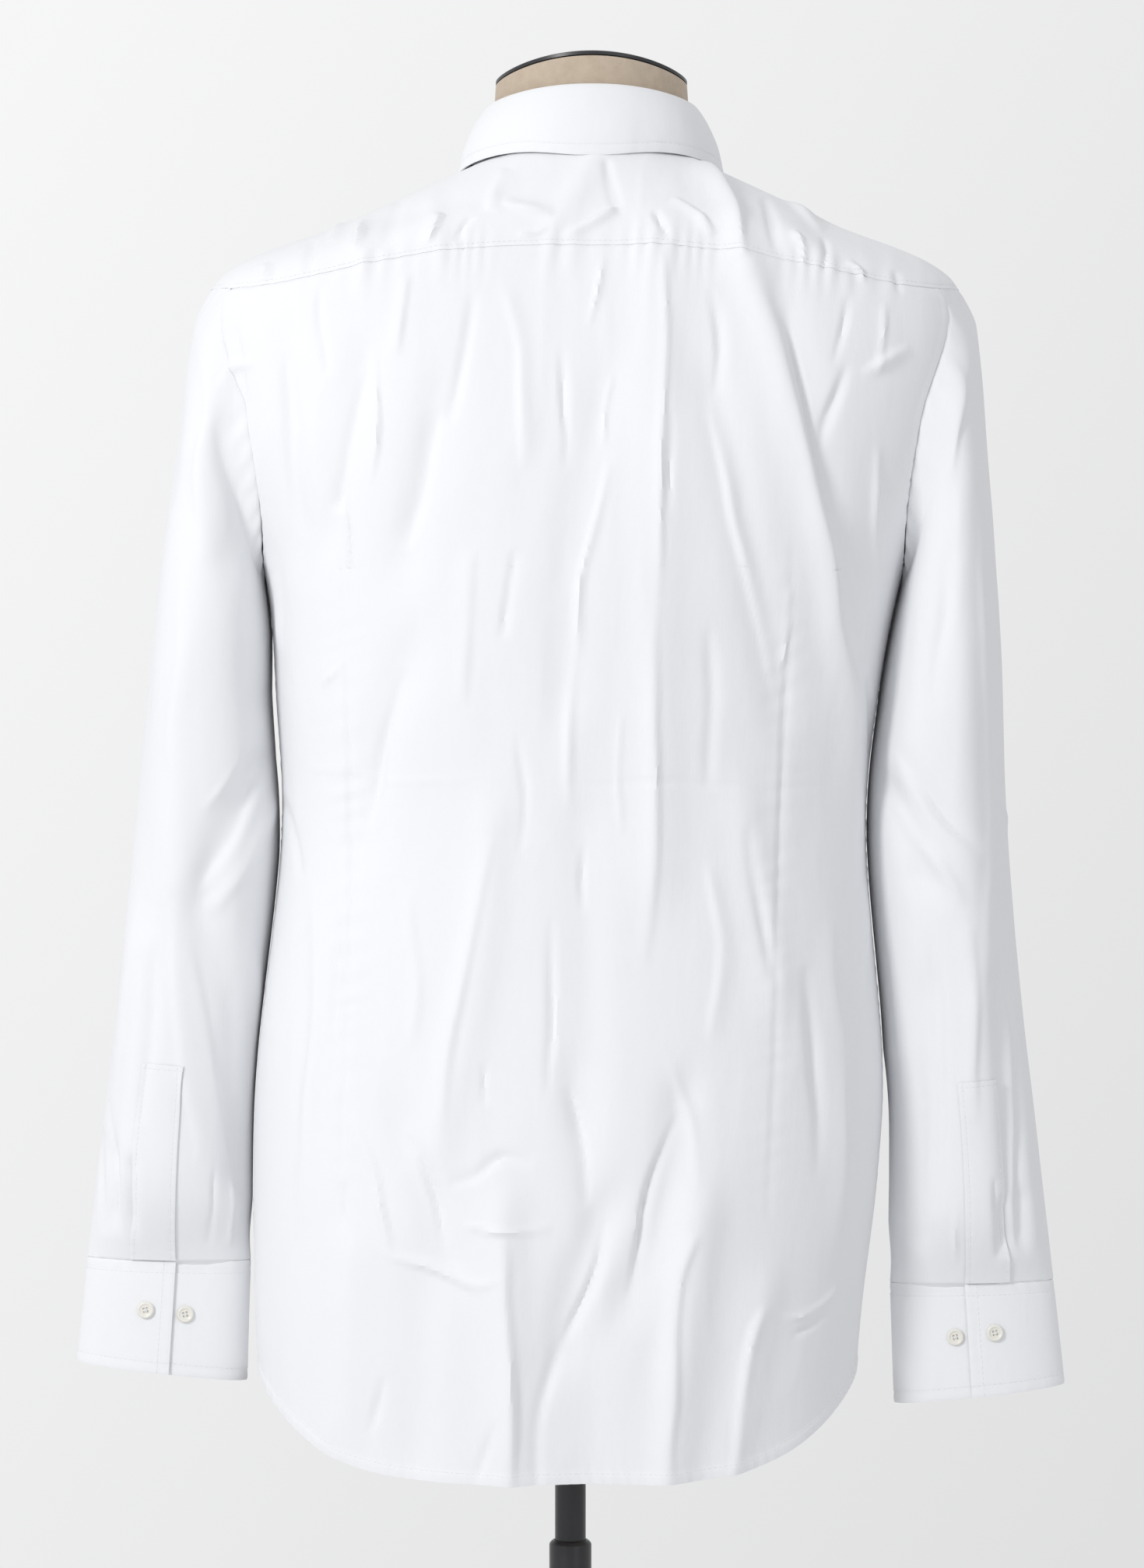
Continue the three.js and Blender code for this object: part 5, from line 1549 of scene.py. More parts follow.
@dataclass
class Torso:
    """Back, yoke, two fronts and the buttonhole band.

    Attributes:
        side_gap: Half the gap of a side seam as an angle.
        side_lap: How far a front runs under the back, as an angle.
        tuck: How far the back runs up under the yoke, in millimetres.
        dart_left: Line of the left back dart.
        dart_right: Line of the right back dart.
        grids: The faces made so far, by name.
    """

    side_gap: float = 0.001
    side_lap: float = 0.007
    tuck: float = 1.6
    dart_left: tuple = ((137, 1281), (133, 1180), (131, 1080), (134, 980), (139, 875))
    dart_right: tuple = ((-132, 1281), (-127, 1180), (-123, 1080), (-121, 980), (-116, 875))
    grids: dict[str, Grid] = field(default_factory=dict)

    def face(self, levels: np.ndarray, angles: list[np.ndarray]) -> Grid:
        """Makes a face of the body.

        Args:
            levels: One level for each row.
            angles: The columns' angles in each row.

        Returns:
            The face.
        """
        turned = np.stack(angles)
        points = body_place(turned, np.repeat(levels[:, None], turned.shape[1], axis=1))
        return outward_grid(points, np.array([-5.0, 0.0, 1150.0]))

    def sew_dart(self, grid: Grid, line: tuple[tuple[float, float], ...], seed: int) -> None:
        """Sews a long dart into a face.

        Args:
            grid: The face.
            line: The dart's line.
            seed: Picks the unevenness of its puckers.
        """
        x, z = grid.points[..., 0], grid.points[..., 2]
        height = np.zeros_like(x)
        Crease("dart", line, 3.6, -1.3, Profile.LEAN_LEFT).add_to(height, x, z)
        beside = np.zeros_like(x)
        Crease("dart sides", line, 24, 1.0, Profile.ROUND).add_to(beside, x, z)
        wander = Unevenness(seed, 40, 31).at(x, z)
        pucker = np.sin(2 * math.pi * z / 15.0 + 4.0 * wander + 0.12 * x) * (0.5 + 0.6 * np.abs(wander))
        grid.lift(height + 0.34 * beside * pucker + 0.35 * beside)

    def pucker_yoke_seam(self, grid: Grid, distance: np.ndarray, reach: float) -> None:
        """Shapes the puckers that the back and the yoke share along their seam.

        Args:
            grid: The face.
            distance: Distances from the seam.
            reach: How far the puckers run into the cloth.
        """
        x, z = grid.points[..., 0], grid.points[..., 2]
        level = np.zeros_like(x)
        wander = Unevenness(215, 34, 400).at(x, level)
        size = 0.55 + 0.6 * Unevenness(216, 27, 400).at(x, level)
        wave = np.sin(2 * math.pi * x / 11.5 + 5.5 * wander + 0.05 * (z - 1440))
        grid.lift(0.75 * size * wave * np.exp(-((distance / reach) ** 2)))

    def tuck_under(self, grid: Grid, edge: Edge, share: np.ndarray | float) -> None:
        """Lowers an edge so that it lies under its neighbour.

        Args:
            grid: The face.
            edge: Its edge.
            share: Share of the tuck at each place.
        """
        distance = grid.from_edge(edge)
        under = 0.6 * (1 - smoothstep(distance, 0.8 * self.tuck, 1.9 * self.tuck))
        grid.lift(-share * (under + 0.2 * np.exp(-(((distance - 2) / 3.5) ** 2))))

    def build_back(self) -> Grid:
        """Makes the back's face, with two darts, a hem and the seams round it.

        Returns:
            The face.
        """
        top = SHOULDER + levels_for(self.tuck, SHOULDER)
        levels = with_armpit_rows(body_levels(0.0, top, math.radians(75), 0.8, 2.45))
        shares = graded(430.0, 1.1, 1.72, 10.0, 4)
        angles = []
        for level in levels:
            edge = armhole_angle(level, True) + self.side_gap
            angles.append(BODY.shared_angles(level, edge, math.pi - edge, shares))
        grid = self.face(levels, angles)
        self.sew_dart(grid, self.dart_left, 201)
        self.sew_dart(grid, self.dart_right, 205)
        finish = SeamFinish(drop=0.1, stitch=6.5, raised=0.5, pucker=0.3, pucker_reach=12)
        grid.seam(Edge.FIRST_ROW, finish, 211)
        self.tuck_under(grid, Edge.LAST_ROW, 1.0)
        self.pucker_yoke_seam(grid, grid.from_edge(Edge.LAST_ROW), 18.0)
        for edge, seed in ((Edge.FIRST_COLUMN, 219), (Edge.LAST_COLUMN, 223)):
            finish = SeamFinish(drop=0.4, stitch=6.0, raised=0.15, pucker=0.35, pucker_reach=11, pitch=9)
            grid.seam(edge, finish, seed)
        return grid

    def build_yoke(self) -> Grid:
        """Makes the yoke's face, which laps a little over the back.

        Returns:
            The face.
        """
        levels = body_levels(SHOULDER, NECKLINE, math.radians(70), 0.9, 1.5)
        shares = graded(540.0, 1.2, 1.7, 10.0)
        start = -YOKE_END + self.side_gap
        angles = [BODY.shared_angles(level, start, math.pi - start, shares) for level in levels]
        grid = self.face(levels, angles)
        self.pucker_yoke_seam(grid, grid.from_edge(Edge.FIRST_ROW), 12.0)
        grid.seam(Edge.FIRST_ROW, SeamFinish(drop=0.1, stitch=2.2, raised=0.12, pucker=0.0), 231)
        for edge, seed in ((Edge.FIRST_COLUMN, 235), (Edge.LAST_COLUMN, 239)):
            grid.seam(edge, SeamFinish(drop=0.2, stitch=2.2, raised=0.35, pucker=0.25), seed)
        return grid

    def build_front(self, sign: float) -> Grid:
        """Makes a front's face.

        Args:
            sign: 1 for the wearer's left front, -1 for the right one, which lies under it.

        Returns:
            The face.
        """
        levels = with_armpit_rows(body_levels(0.0, NECKLINE, math.radians(-65), 1.2, 3.0))
        shares = graded(270.0, 1.1, 2.1, 9.0)
        lap = PLACKET_HALF if sign > 0 else UNDERLAP_EDGE
        angles = []
        for level in levels:
            lapped = self.side_lap * (1 - smoothstep(level, ARMPIT - 0.5, ARMPIT - 0.1))
            start = -armhole_angle(level, False) - self.side_gap + lapped
            turned = BODY.shared_angles(level, float(start), front_angle(level, -lap), shares)
            angles.append(turned if sign > 0 else math.pi - turned)
        grid = self.face(levels, angles)
        if sign < 0:
            from_middle = np.abs(grid.points[..., 0] - BODY.read("shift", levels)[:, None])
            grid.lift(-UNDERLAP_INSET * (1 - smoothstep(from_middle, PLACKET_HALF, UNDERLAP_START)))
        finish = SeamFinish(drop=0.1, stitch=6.5, raised=0.45, pucker=0.3, pucker_reach=12)
        grid.seam(Edge.FIRST_ROW, finish, 241)
        below_armpit = 1 - smoothstep(levels, ARMPIT - 0.5, ARMPIT - 0.1)
        self.tuck_under(grid, Edge.FIRST_COLUMN, below_armpit[:, None])
        side_finish = SeamFinish(drop=0.1, stitch=6.0, raised=0.1, pucker=0.3, pucker_reach=11, pitch=9)
        grid.seam(Edge.FIRST_COLUMN, side_finish, 245)
        return grid

    def build_band(self) -> Grid:
        """Makes the face of the buttonhole band.

        Returns:
            The face.
        """
        levels = body_levels(0.004, NECKLINE - 0.02, math.radians(-89), 1.2, 3.0)
        lines = PLACKET_HALF * (1 - 2 * graded(2 * PLACKET_HALF, 0.9, 1.5, 6.0))
        angles = [np.array([front_angle(level, line) for line in lines]) for level in levels]
        grid = self.face(levels, angles)
        grid.lift(CLOTH + LAY_GAP)
        for edge, seed in ((Edge.FIRST_COLUMN, 251), (Edge.LAST_COLUMN, 255)):
            finish = SeamFinish(drop=0.3, stitch=5.0, raised=0.2, pucker=0.22, pucker_reach=6, pitch=8)
            grid.seam(edge, finish, seed)
        return grid

    def dress(self, cloth: bpy.types.Material, thread: bpy.types.Material) -> None:
        """Makes the pieces of the torso and their stitching.

        Args:
            cloth: The shirting.
            thread: The sewing thread.
        """
        self.grids = {
            "back": self.build_back(),
            "yoke": self.build_yoke(),
            "front_left": self.build_front(1.0),
            "front_right": self.build_front(-1.0),
            "front_placket": self.build_band(),
        }
        cuts = {
            "back": CutSize(0.50, 0.76, 0.345),
            "yoke": CutSize(0.50, 0.13, 0.0595),
            "front_left": CutSize(0.29, 0.80, 0.19),
            "front_right": CutSize(0.29, 0.80, 0.19),
            "front_placket": CutSize(0.035, 0.78, 0.0265),
        }
        for name, grid in self.grids.items():
            Panel(f"{name}_cloth", name, grid, cuts[name], inner_step=4 if name == "back" else 2).dress(cloth)
        seams = Stitching("stitches_torso")
        seams.run(self.grids["back"].line(Edge.FIRST_ROW, 6.2))
        seams.run(self.grids["yoke"].line(Edge.FIRST_ROW, 2.2))
        for front in ("front_left", "front_right"):
            seams.run(self.grids[front].line(Edge.FIRST_ROW, 6.2))
        for edge in (Edge.FIRST_COLUMN, Edge.LAST_COLUMN):
            seams.run(self.grids["yoke"].line(edge, 2.2))
            seams.run(self.grids["front_placket"].line(edge, 5.0))
        seams.build(thread)


@dataclass
class Sleeve:
    """A sleeve, its slit band and its cuff.

    Attributes:
        arm: Which arm it is.
        columns: Number of columns round the sleeve.
        cap_rows: Number of rows between the armhole and the first level.
        cuff_tuck: How far down and in the sleeve's last rows run inside the cuff.
        cuff: The cuff's face.
    """

    arm: ArmSide
    columns: int = 184
    cap_rows: int = 12
    cuff_tuck: tuple[tuple[float, float], ...] = ((0.4, 0.7), (3.0, 1.9))
    cuff: Grid = field(init=False)

    def armhole(self) -> np.ndarray:
        """Works out the armhole's edge from the top of the shoulder over the back.

        Returns:
            Places that share out the edge by length.
        """
        ends = np.linspace(0, YOKE_END, 14)
        sink = 1 - np.cos(np.linspace(0, math.pi / 2, 60))
        rising = np.concatenate([ARMPIT + sink, np.linspace(CHEST, SHOULDER, 30)[1:]])
        halves = []
        for behind in (True, False):
            edge = np.array([armhole_angle(level, behind) for level in rising[::-1]])
            angle = np.concatenate([ends, edge]) * (1 if behind else -1)
            level = np.concatenate([np.full(len(ends), float(SHOULDER)), rising[::-1]])
            if self.arm.sign < 0:
                angle = math.pi - angle
            points = body_place(angle, level)
            lengths = np.concatenate([[0.0], np.cumsum(np.linalg.norm(np.diff(points, axis=0), axis=-1))])
            where = np.linspace(0, lengths[-1], self.columns // 2 + 1)
            halves.append(np.stack([np.interp(where, lengths, points[:, k]) for k in range(3)], -1))
        return np.concatenate([halves[0], halves[1][-2:0:-1]])

    def place(self, angle: np.ndarray, level: np.ndarray) -> np.ndarray:
        """Place on the sleeve's outer face.

        Args:
            angle: Angles round the sleeve.
            level: Levels of the sleeve.

        Returns:
            Places in millimetres.
        """
        angle, level = np.broadcast_arrays(np.asarray(angle, float), np.asarray(level, float))
        point = SLEEVE.point(self.arm.sign, angle, level)
        sine = np.sin(angle)
        outward = np.stack([self.arm.sign * np.cos(angle), sine, np.zeros_like(sine)], -1)
        x, z = point[..., 0], point[..., 2]
        drop = self.arm.drop * smoothstep(level, 3, 10)
        broad = np.where(sine >= 0, self.arm.behind.broad(x, z), self.arm.ahead.broad(x, z))
        low_z = z - drop
        detail = np.where(sine >= 0, self.arm.behind.detail(x, low_z), self.arm.ahead.detail(x, low_z))
        shown = smoothstep(CUFF_SEAM - level, 0.0, 0.35)
        height = smoothstep(CUFF_SEAM - level, 0.3, 0.8) * smoothstep(np.abs(sine), 0.25, 0.75) * broad
        height = height + shown * smoothstep(np.abs(sine), 0.04, 0.5) * detail
        point = point + outward * height[..., None]
        point[..., 2] -= drop
        point[..., 0] -= self.arm.sign * self.towards_side(level) * smoothstep(-np.cos(angle), -0.1, 0.55)
        return point

    def towards_side(self, level: np.ndarray) -> np.ndarray:
        """How far the sleeve's inner face moves to lie near the torso's side.

        Args:
            level: Levels of the sleeve.

        Returns:
            Distances in millimetres.
        """
        inner = SLEEVE.point(self.arm.sign, np.full(level.shape, math.pi), level)
        height = inner[..., 2] - self.arm.drop * smoothstep(level, 3, 10)
        heights, gaps = np.array(self.arm.side_gap).T
        gap = np.abs(inner[..., 0]) - side_reach(self.arm.sign, height)
        return np.maximum(gap - np.interp(height, heights, gaps), 0.0) * (1 - smoothstep(level, 9.0, 9.9))

    def build(self) -> Grid:
        """Makes the sleeve's face, from the armhole to the cuff.

        Returns:
            The face.
        """
        loop = self.armhole()
        angle = 2 * math.pi * np.arange(self.columns) / self.columns
        samples = np.linspace(0, CUFF_SEAM, 400)
        line = SLEEVE.point(self.arm.sign, np.full(400, math.pi / 2), samples)
        lengths = np.concatenate([[0.0], np.cumsum(np.linalg.norm(np.diff(line, axis=0), axis=-1))])
        levels = np.interp(graded(lengths[-1], 1.3, 2.7, 30.0) * lengths[-1], lengths, samples)
        lower = self.place(angle[None, :], levels[:, None])
        first, second = lower[0], lower[1]
        gap = np.linalg.norm(first - loop, axis=-1, keepdims=True)
        run = unit(second - first) * gap
        away = first - loop
        rows = []
        for step in range(self.cap_rows):
            t = step / self.cap_rows
            rows.append(
                (2 * t**3 - 3 * t**2 + 1) * loop
                + (t**3 - 2 * t**2 + t) * away
                + (-2 * t**3 + 3 * t**2) * first
                + (t**3 - t**2) * run
            )
        points = np.concatenate([np.stack(rows), lower, self.run_into_cuff(lower)])
        if len(points) % 2 == 0:
            points = np.delete(points, 1, axis=0)
        centre = points.mean(axis=1, keepdims=True)
        grid = outward_grid(points, centre, closed=True)
        tucked = -1.7 * np.exp(-((grid.from_edge(Edge.FIRST_ROW) / 2.5) ** 2))
        grid.points = grid.points + unit(np.gradient(grid.points, axis=0)) * tucked[..., None]
        grid.turn()
        finish = SeamFinish(drop=0.75, stitch=0.0, raised=0.0, pucker=0.6, pucker_reach=15)
        grid.lift(self.closed_seam(grid, finish))
        return grid

    def run_into_cuff(self, rows: np.ndarray) -> np.ndarray:
        """Makes two more rows that run from the sleeve's end into the cuff.

        Args:
            rows: The sleeve's last rows.

        Returns:
            The two rows.
        """
        last = rows[-1]
        down = unit(last - rows[-3])
        inwards = unit((last.mean(axis=0) - last) * np.array([1.0, 1.0, 0.0]))
        return np.stack([last + down * reach + inwards * inset for reach, inset in self.cuff_tuck])

    def closed_seam(self, grid: Grid, finish: SeamFinish) -> np.ndarray:
        """Shapes the armhole seam so that it meets itself.

        Args:
            grid: The sleeve's face.
            finish: How the seam is sewn.

        Returns:
            Heights at each place.
        """
        distance = grid.from_edge(Edge.FIRST_ROW)
        turn = 2 * math.pi * np.arange(self.columns) / self.columns
        swell = 0.7 + 0.3 * np.sin(3 * turn + 1.1) + 0.2 * np.sin(5 * turn)
        ripple = np.sin(38 * turn + 1.8 * np.sin(2 * turn) + 0.08 * distance)
        edge = -finish.drop * np.exp(-((distance / 2.6) ** 2))
        shown = np.exp(-((distance / finish.pucker_reach) ** 2)) * smoothstep(distance, 0.0, 5.0)
        return edge + finish.pucker * swell * ripple * shown

    def build_slit_band(self) -> Grid:
        """Makes the face of the band along the sleeve's slit.

        Returns:
            The face.
        """
        levels = np.interp(graded(150.0, 1.2, 2.2, 8.0), (0, 1), (SLIT_TOP, CUFF_SEAM - 0.02))
        angles = SLIT_BAND[0] + (SLIT_BAND[1] - SLIT_BAND[0]) * graded(26.0, 0.7, 1.3, 5.0)
        points = self.place(angles[None, :], levels[:, None])
        centre = np.array([self.arm.sign * 245.0, 0.0, 920.0 - self.arm.drop])
        grid = outward_grid(points, centre)
        grid.lift(CLOTH + LAY_GAP)
        for edge, seed in ((Edge.FIRST_COLUMN, 301), (Edge.LAST_COLUMN, 305), (Edge.FIRST_ROW, 309)):
            finish = SeamFinish(drop=0.3, stitch=2.4, raised=0.2, pucker=0.16, pucker_reach=5, pitch=7)
            grid.seam(edge, finish, seed)
        return grid

    def cuff_place(self, angle: np.ndarray, level: np.ndarray) -> tuple[np.ndarray, np.ndarray]:
        """Place on the cuff's outer face; angles past a full turn lie on the lapped end.

        Args:
            angle: Angles round the cuff.
            level: 0 at the seam, 1 at the bottom.

        Returns:
            Places in millimetres and directions out of the cuff.
        """
        turn = 0.01
        point = CUFF.point(self.arm.sign, angle, level)
        sign, top = self.arm.sign, np.ones_like(level)
        along = CUFF.point(sign, angle + turn, level) - CUFF.point(sign, angle - turn, level)
        down = CUFF.point(sign, angle, top) - CUFF.point(sign, angle, 0 * top)
        normal = unit(self.arm.sign * np.cross(down, along))
        inset = CUFF_INSET * (1 - smoothstep(angle, CUFF_EDGE + 0.2, CUFF_BLEND_END))
        point = point - normal * inset[..., None]
        point[..., 2] -= self.arm.drop
        return point, normal

    def build_cuff(self) -> Grid:
        """Makes the cuff's face, one strip that laps over its own start.

        Returns:
            The face.
        """
        angles = CUFF_UNDERLAP + (CUFF_EDGE + 2 * math.pi - CUFF_UNDERLAP) * graded(290.0, 0.9, 1.9, 9.0)
        levels = graded(76.0, 0.9, 1.9, 8.0)
        angle, level = np.broadcast_arrays(angles[None, :], levels[:, None])
        points, _ = self.cuff_place(angle, level)
        centre = np.array([self.arm.sign * 250.0, 0.0, 806.0 - self.arm.drop])
        grid = outward_grid(points, centre)
        x, z = grid.points[..., 0] + 0.8 * grid.points[..., 1], grid.points[..., 2]
        grid.lift(0.3 * Unevenness(401 + int(self.arm.drop), 38, 50).at(x, z))
        finish = SeamFinish(drop=0.35, stitch=6.0, raised=0.0, pucker=0.14, pucker_reach=9, pitch=10)
        for edge, seed in zip(Edge, (405, 409, 413, 417)):
            grid.seam(edge, finish, seed)
        return grid

    def dress(self, cloth: bpy.types.Material, thread: bpy.types.Material) -> None:
        """Makes the sleeve's pieces and their stitching.

        Args:
            cloth: The shirting.
            thread: The sewing thread.
        """
        side = self.arm.side
        band = self.build_slit_band()
        self.cuff = self.build_cuff()
        Panel(f"sleeve_{side}_cloth", f"sleeve_{side}", self.build(), CutSize(0.42, 0.60, 0.16)).dress(cloth)
        band_name, cuff_name = f"sleeve_placket_{side}", f"cuff_{side}"
        Panel(f"{band_name}_cloth", band_name, band, CutSize(0.026, 0.15, 0.0035)).dress(cloth)
        cuff_size = CutSize(0.285, 0.07, 0.0195)
        carrier = (f"sleeve_{side}_cloth",)
        Panel(f"{cuff_name}_cloth", cuff_name, self.cuff, cuff_size, BAND_WALL, rests_on=carrier).dress(cloth)
        seams = Stitching(f"stitches_sleeve_{side}")
        for edge in Edge:
            seams.run(self.cuff.line(edge, 6.0))
        for edge in (Edge.FIRST_COLUMN, Edge.LAST_COLUMN, Edge.FIRST_ROW):
            seams.run(band.line(edge, 2.4))
        seams.build(thread)


@dataclass
class Collar:
    """The collar's stand and the fall that turns over it.

    Attributes:
        columns: Number of steps along the fall.
        rows: Number of steps from the fall's inner lip to its outer edge; not used.
    """

    columns: int = 260
    rows: int = 64

    def build_stand(self) -> Grid:
        """Makes the stand's outer face, its left end over its right one.

        Returns:
            The face.
        """
        angles = STAND_OVERLAP + (STAND_UNDERLAP - STAND_OVERLAP) * graded(480.0, 0.9, 2.2, 8.0)
        angle, level = np.broadcast_arrays(angles[None, :], graded(33.0, 0.8, 1.6, 6.0)[:, None])
        out = STAND.normal(angle, level)
        out[..., 2] = 0
        inset = STAND_INSET * smoothstep(angle, STAND_UNDERLAP - 0.85, STAND_UNDERLAP - 0.5)
        points = STAND.point(angle, level) - unit(out) * inset[..., None]
        grid = outward_grid(points, np.array([-13.0, 0.0, 1510.0]))
        for edge, seed in zip(Edge, (501, 505, 509, 513)):
            finish = SeamFinish(drop=0.3, stitch=2.4, raised=0.0, pucker=0.1, pucker_reach=6, pitch=9)
            grid.seam(edge, finish, seed)
        return grid

    def shoulder_place(self, direction: np.ndarray, reach: np.ndarray) -> tuple[np.ndarray, np.ndarray]:
        """Place on the shoulders in given directions from the neck's middle.

        Args:
            direction: Directions as angles.
            reach: Distances from the neck's middle.

        Returns:
            Places in millimetres and directions out of the cloth.
        """
        low, high = np.full(direction.shape, float(SHOULDER)), np.full(direction.shape, float(NECKLINE))
        for _ in range(24):
            level = (low + high) / 2
            corner = 2 / BODY.read("power", level)
            depth = np.where(np.sin(direction) >= 0, BODY.read("back", level), BODY.read("front", level))
            slant = np.abs(np.tan(direction)) * BODY.read("half", level) / depth
            turn = np.arctan(slant ** (1 / corner))
            upper = np.where(np.cos(direction) >= 0, turn, math.pi - turn)
            angle = np.where(np.sin(direction) >= 0, upper, -upper)
            point = BODY.point(angle, level)
            far = np.hypot(point[..., 0] - BODY.read("shift", level), point[..., 1]) > reach
            low, high = np.where(far, level, low), np.where(far, high, level)
        return point, BODY.normal(angle, level)

    def build_fall(self) -> Grid:
        """Makes the fall's outer face, from its inner lip over the fold to the outer edge.

        Returns:
            The face.
        """
        share = np.linspace(0, 1, self.columns + 1)
        top_angle = FALL_TOP_END + (math.pi - 2 * FALL_TOP_END) * share
        direction = FALL_POINT_ANGLE + (math.pi - 2 * FALL_POINT_ANGLE) * share
        from_back = np.abs(direction - math.pi / 2) / math.radians(30)
        edge, edge_normal = self.shoulder_place(direction, spline(np.array(FALL_REACH), from_back))
        outer = edge + edge_normal * FALL_CLEAR
        top = STAND.point(top_angle, np.ones_like(top_angle))
        out = STAND.normal(top_angle, np.ones_like(top_angle))
        out[..., 2] = 0
        out = unit(out)
        rows = [top + out * reach + np.array([0, 0, up]) for reach, up in CROWN]
        turn = rows[-1]
        rows += [turn + (outer - turn) * way + out * FALL_BULGE * 4 * way * (1 - way) for way in FALL_SHARES]
        points = smooth_rows(np.stack(rows), graded(62.0, 0.6, 1.1, 8.0))
        grid = outward_grid(points, np.array([-13.0, 0.0, 1480.0]))
        x, z = grid.points[..., 0] + 0.7 * grid.points[..., 1], grid.points[..., 2]
        inside = grid.from_edge(Edge.FIRST_ROW)
        wave = 0.55 * Unevenness(521, 34, 40).at(x, z) + 0.16 * Unevenness(525, 11, 16).at(x, z)
        grid.lift(wave * smoothstep(inside, 6, 18))
        for edge_name, seed in ((Edge.LAST_ROW, 529), (Edge.FIRST_COLUMN, 533), (Edge.LAST_COLUMN, 537)):
            finish = SeamFinish(drop=0.4, stitch=6.0, raised=0.0, pucker=0.16, pucker_reach=9, pitch=11)
            grid.seam(edge_name, finish, seed)
        return grid

    def dress(self, cloth: bpy.types.Material, thread: bpy.types.Material) -> None:
        """Makes the collar's pieces and their stitching.

        Args:
            cloth: The shirting.
            thread: The sewing thread.
        """
        stand, fall = self.build_stand(), self.build_fall()
        stand_size = CutSize(0.47, 0.045, 0.0165)
        Panel("collar_stand_cloth", "collar_stand", stand, stand_size, BAND_WALL).dress(cloth)
        fall_size = CutSize(0.47, 0.062, 0.023)
        Panel(
            "collar_fall_cloth", "collar_fall", fall, fall_size, BAND_WALL, "folded", ("collar_stand_cloth",)
        ).dress(cloth)
        seams = Stitching("stitches_collar")
        for edge in (Edge.LAST_ROW, Edge.FIRST_COLUMN, Edge.LAST_COLUMN):
            seams.run(fall.line(edge, 6.0))
        for edge in (Edge.FIRST_ROW, Edge.FIRST_COLUMN, Edge.LAST_COLUMN):
            seams.run(stand.line(edge, 2.4))
        seams.build(thread)


@dataclass
class Button:
    """A four-hole button with a raised rim, sewn on with crossed thread.

    Attributes:
        node: The node that it replaces.
        place: Place of its underside's middle in millimetres.
        normal: Its axis, out of the cloth.
        radius: Half its width in millimetres.
        sides: Number of its sides.
        hole_offset: How far each hole lies from the middle, sideways and upwards.
        hole_radius: Half the width of a hole.
    """

    node: str
    place: np.ndarray
    normal: np.ndarray
    radius: float = 5.25
    sides: int = 56
    hole_offset: float = 1.0
    hole_radius: float = 0.62

    def axes(self) -> np.ndarray:
        """Returns the button's own two sideways directions and its axis."""
        side = unit(np.cross(self.normal, np.array([0.21, 0.0, 0.98])))
        return np.stack([side, np.cross(self.normal, side), self.normal])

    def height(self, x: np.ndarray, y: np.ndarray) -> np.ndarray:
        """Height of the button's upper face.

        Args:
            x: Places sideways from the middle.
            y: Places upwards from the middle.

        Returns:
            Heights in millimetres.
        """
        reach = np.hypot(x, y)
        face = 1.62 + 0.62 * smoothstep(reach, 2.9, 3.9) - 0.1 * smoothstep(reach, 0.0, 2.4)
        face = face - 1.1 * smoothstep(reach, 4.35, 5.3) ** 1.5
        for across in (-1, 1):
            for up in (-1, 1):
                gap = np.hypot(x - across * self.hole_offset, y - up * self.hole_offset)
                face = face - 1.3 * (1 - smoothstep(gap, 0.72 * self.hole_radius, 1.15 * self.hole_radius))
        return face

    def dress(self, resin: bpy.types.Material, thread: Stitching) -> None:
        """Makes the button and its thread.

        Args:
            resin: Its finish.
            thread: Where its thread is sewn.
        """
        turn = 2 * math.pi * np.arange(self.sides) / self.sides
        radii = np.concatenate([np.linspace(0.1, 2.4, 15), np.linspace(2.6, self.radius, 13)])
        x, y = np.outer(radii, np.cos(turn)), np.outer(radii, np.sin(turn))
        rows = [np.stack([x, y, self.height(x, y)], -1)]
        for reach, up in ((self.radius, 0.75), (4.9, 0.3), (4.2, 0.02), (0.4, 0.0)):
            ring = [reach * np.cos(turn), reach * np.sin(turn), np.full(self.sides, up)]
            rows.append(np.stack(ring, -1)[None])
        rings = self.place + np.concatenate(rows) @ self.axes()
        name = f"{self.node}_resin"
        piece = add_piece(name, stack_mesh(name, rings, 60), resin, BODY_NAME)
        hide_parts(self.node)
        offset = self.hole_offset
        for start, end in (((-offset, -offset), (offset, offset)), ((-offset, offset), (offset, -offset))):
            ends = np.array([[*start, 1.7], [*end, 1.7]]) @ self.axes() + self.place
            thread.run((ends, np.stack([self.normal, self.normal])), sink=0.0)


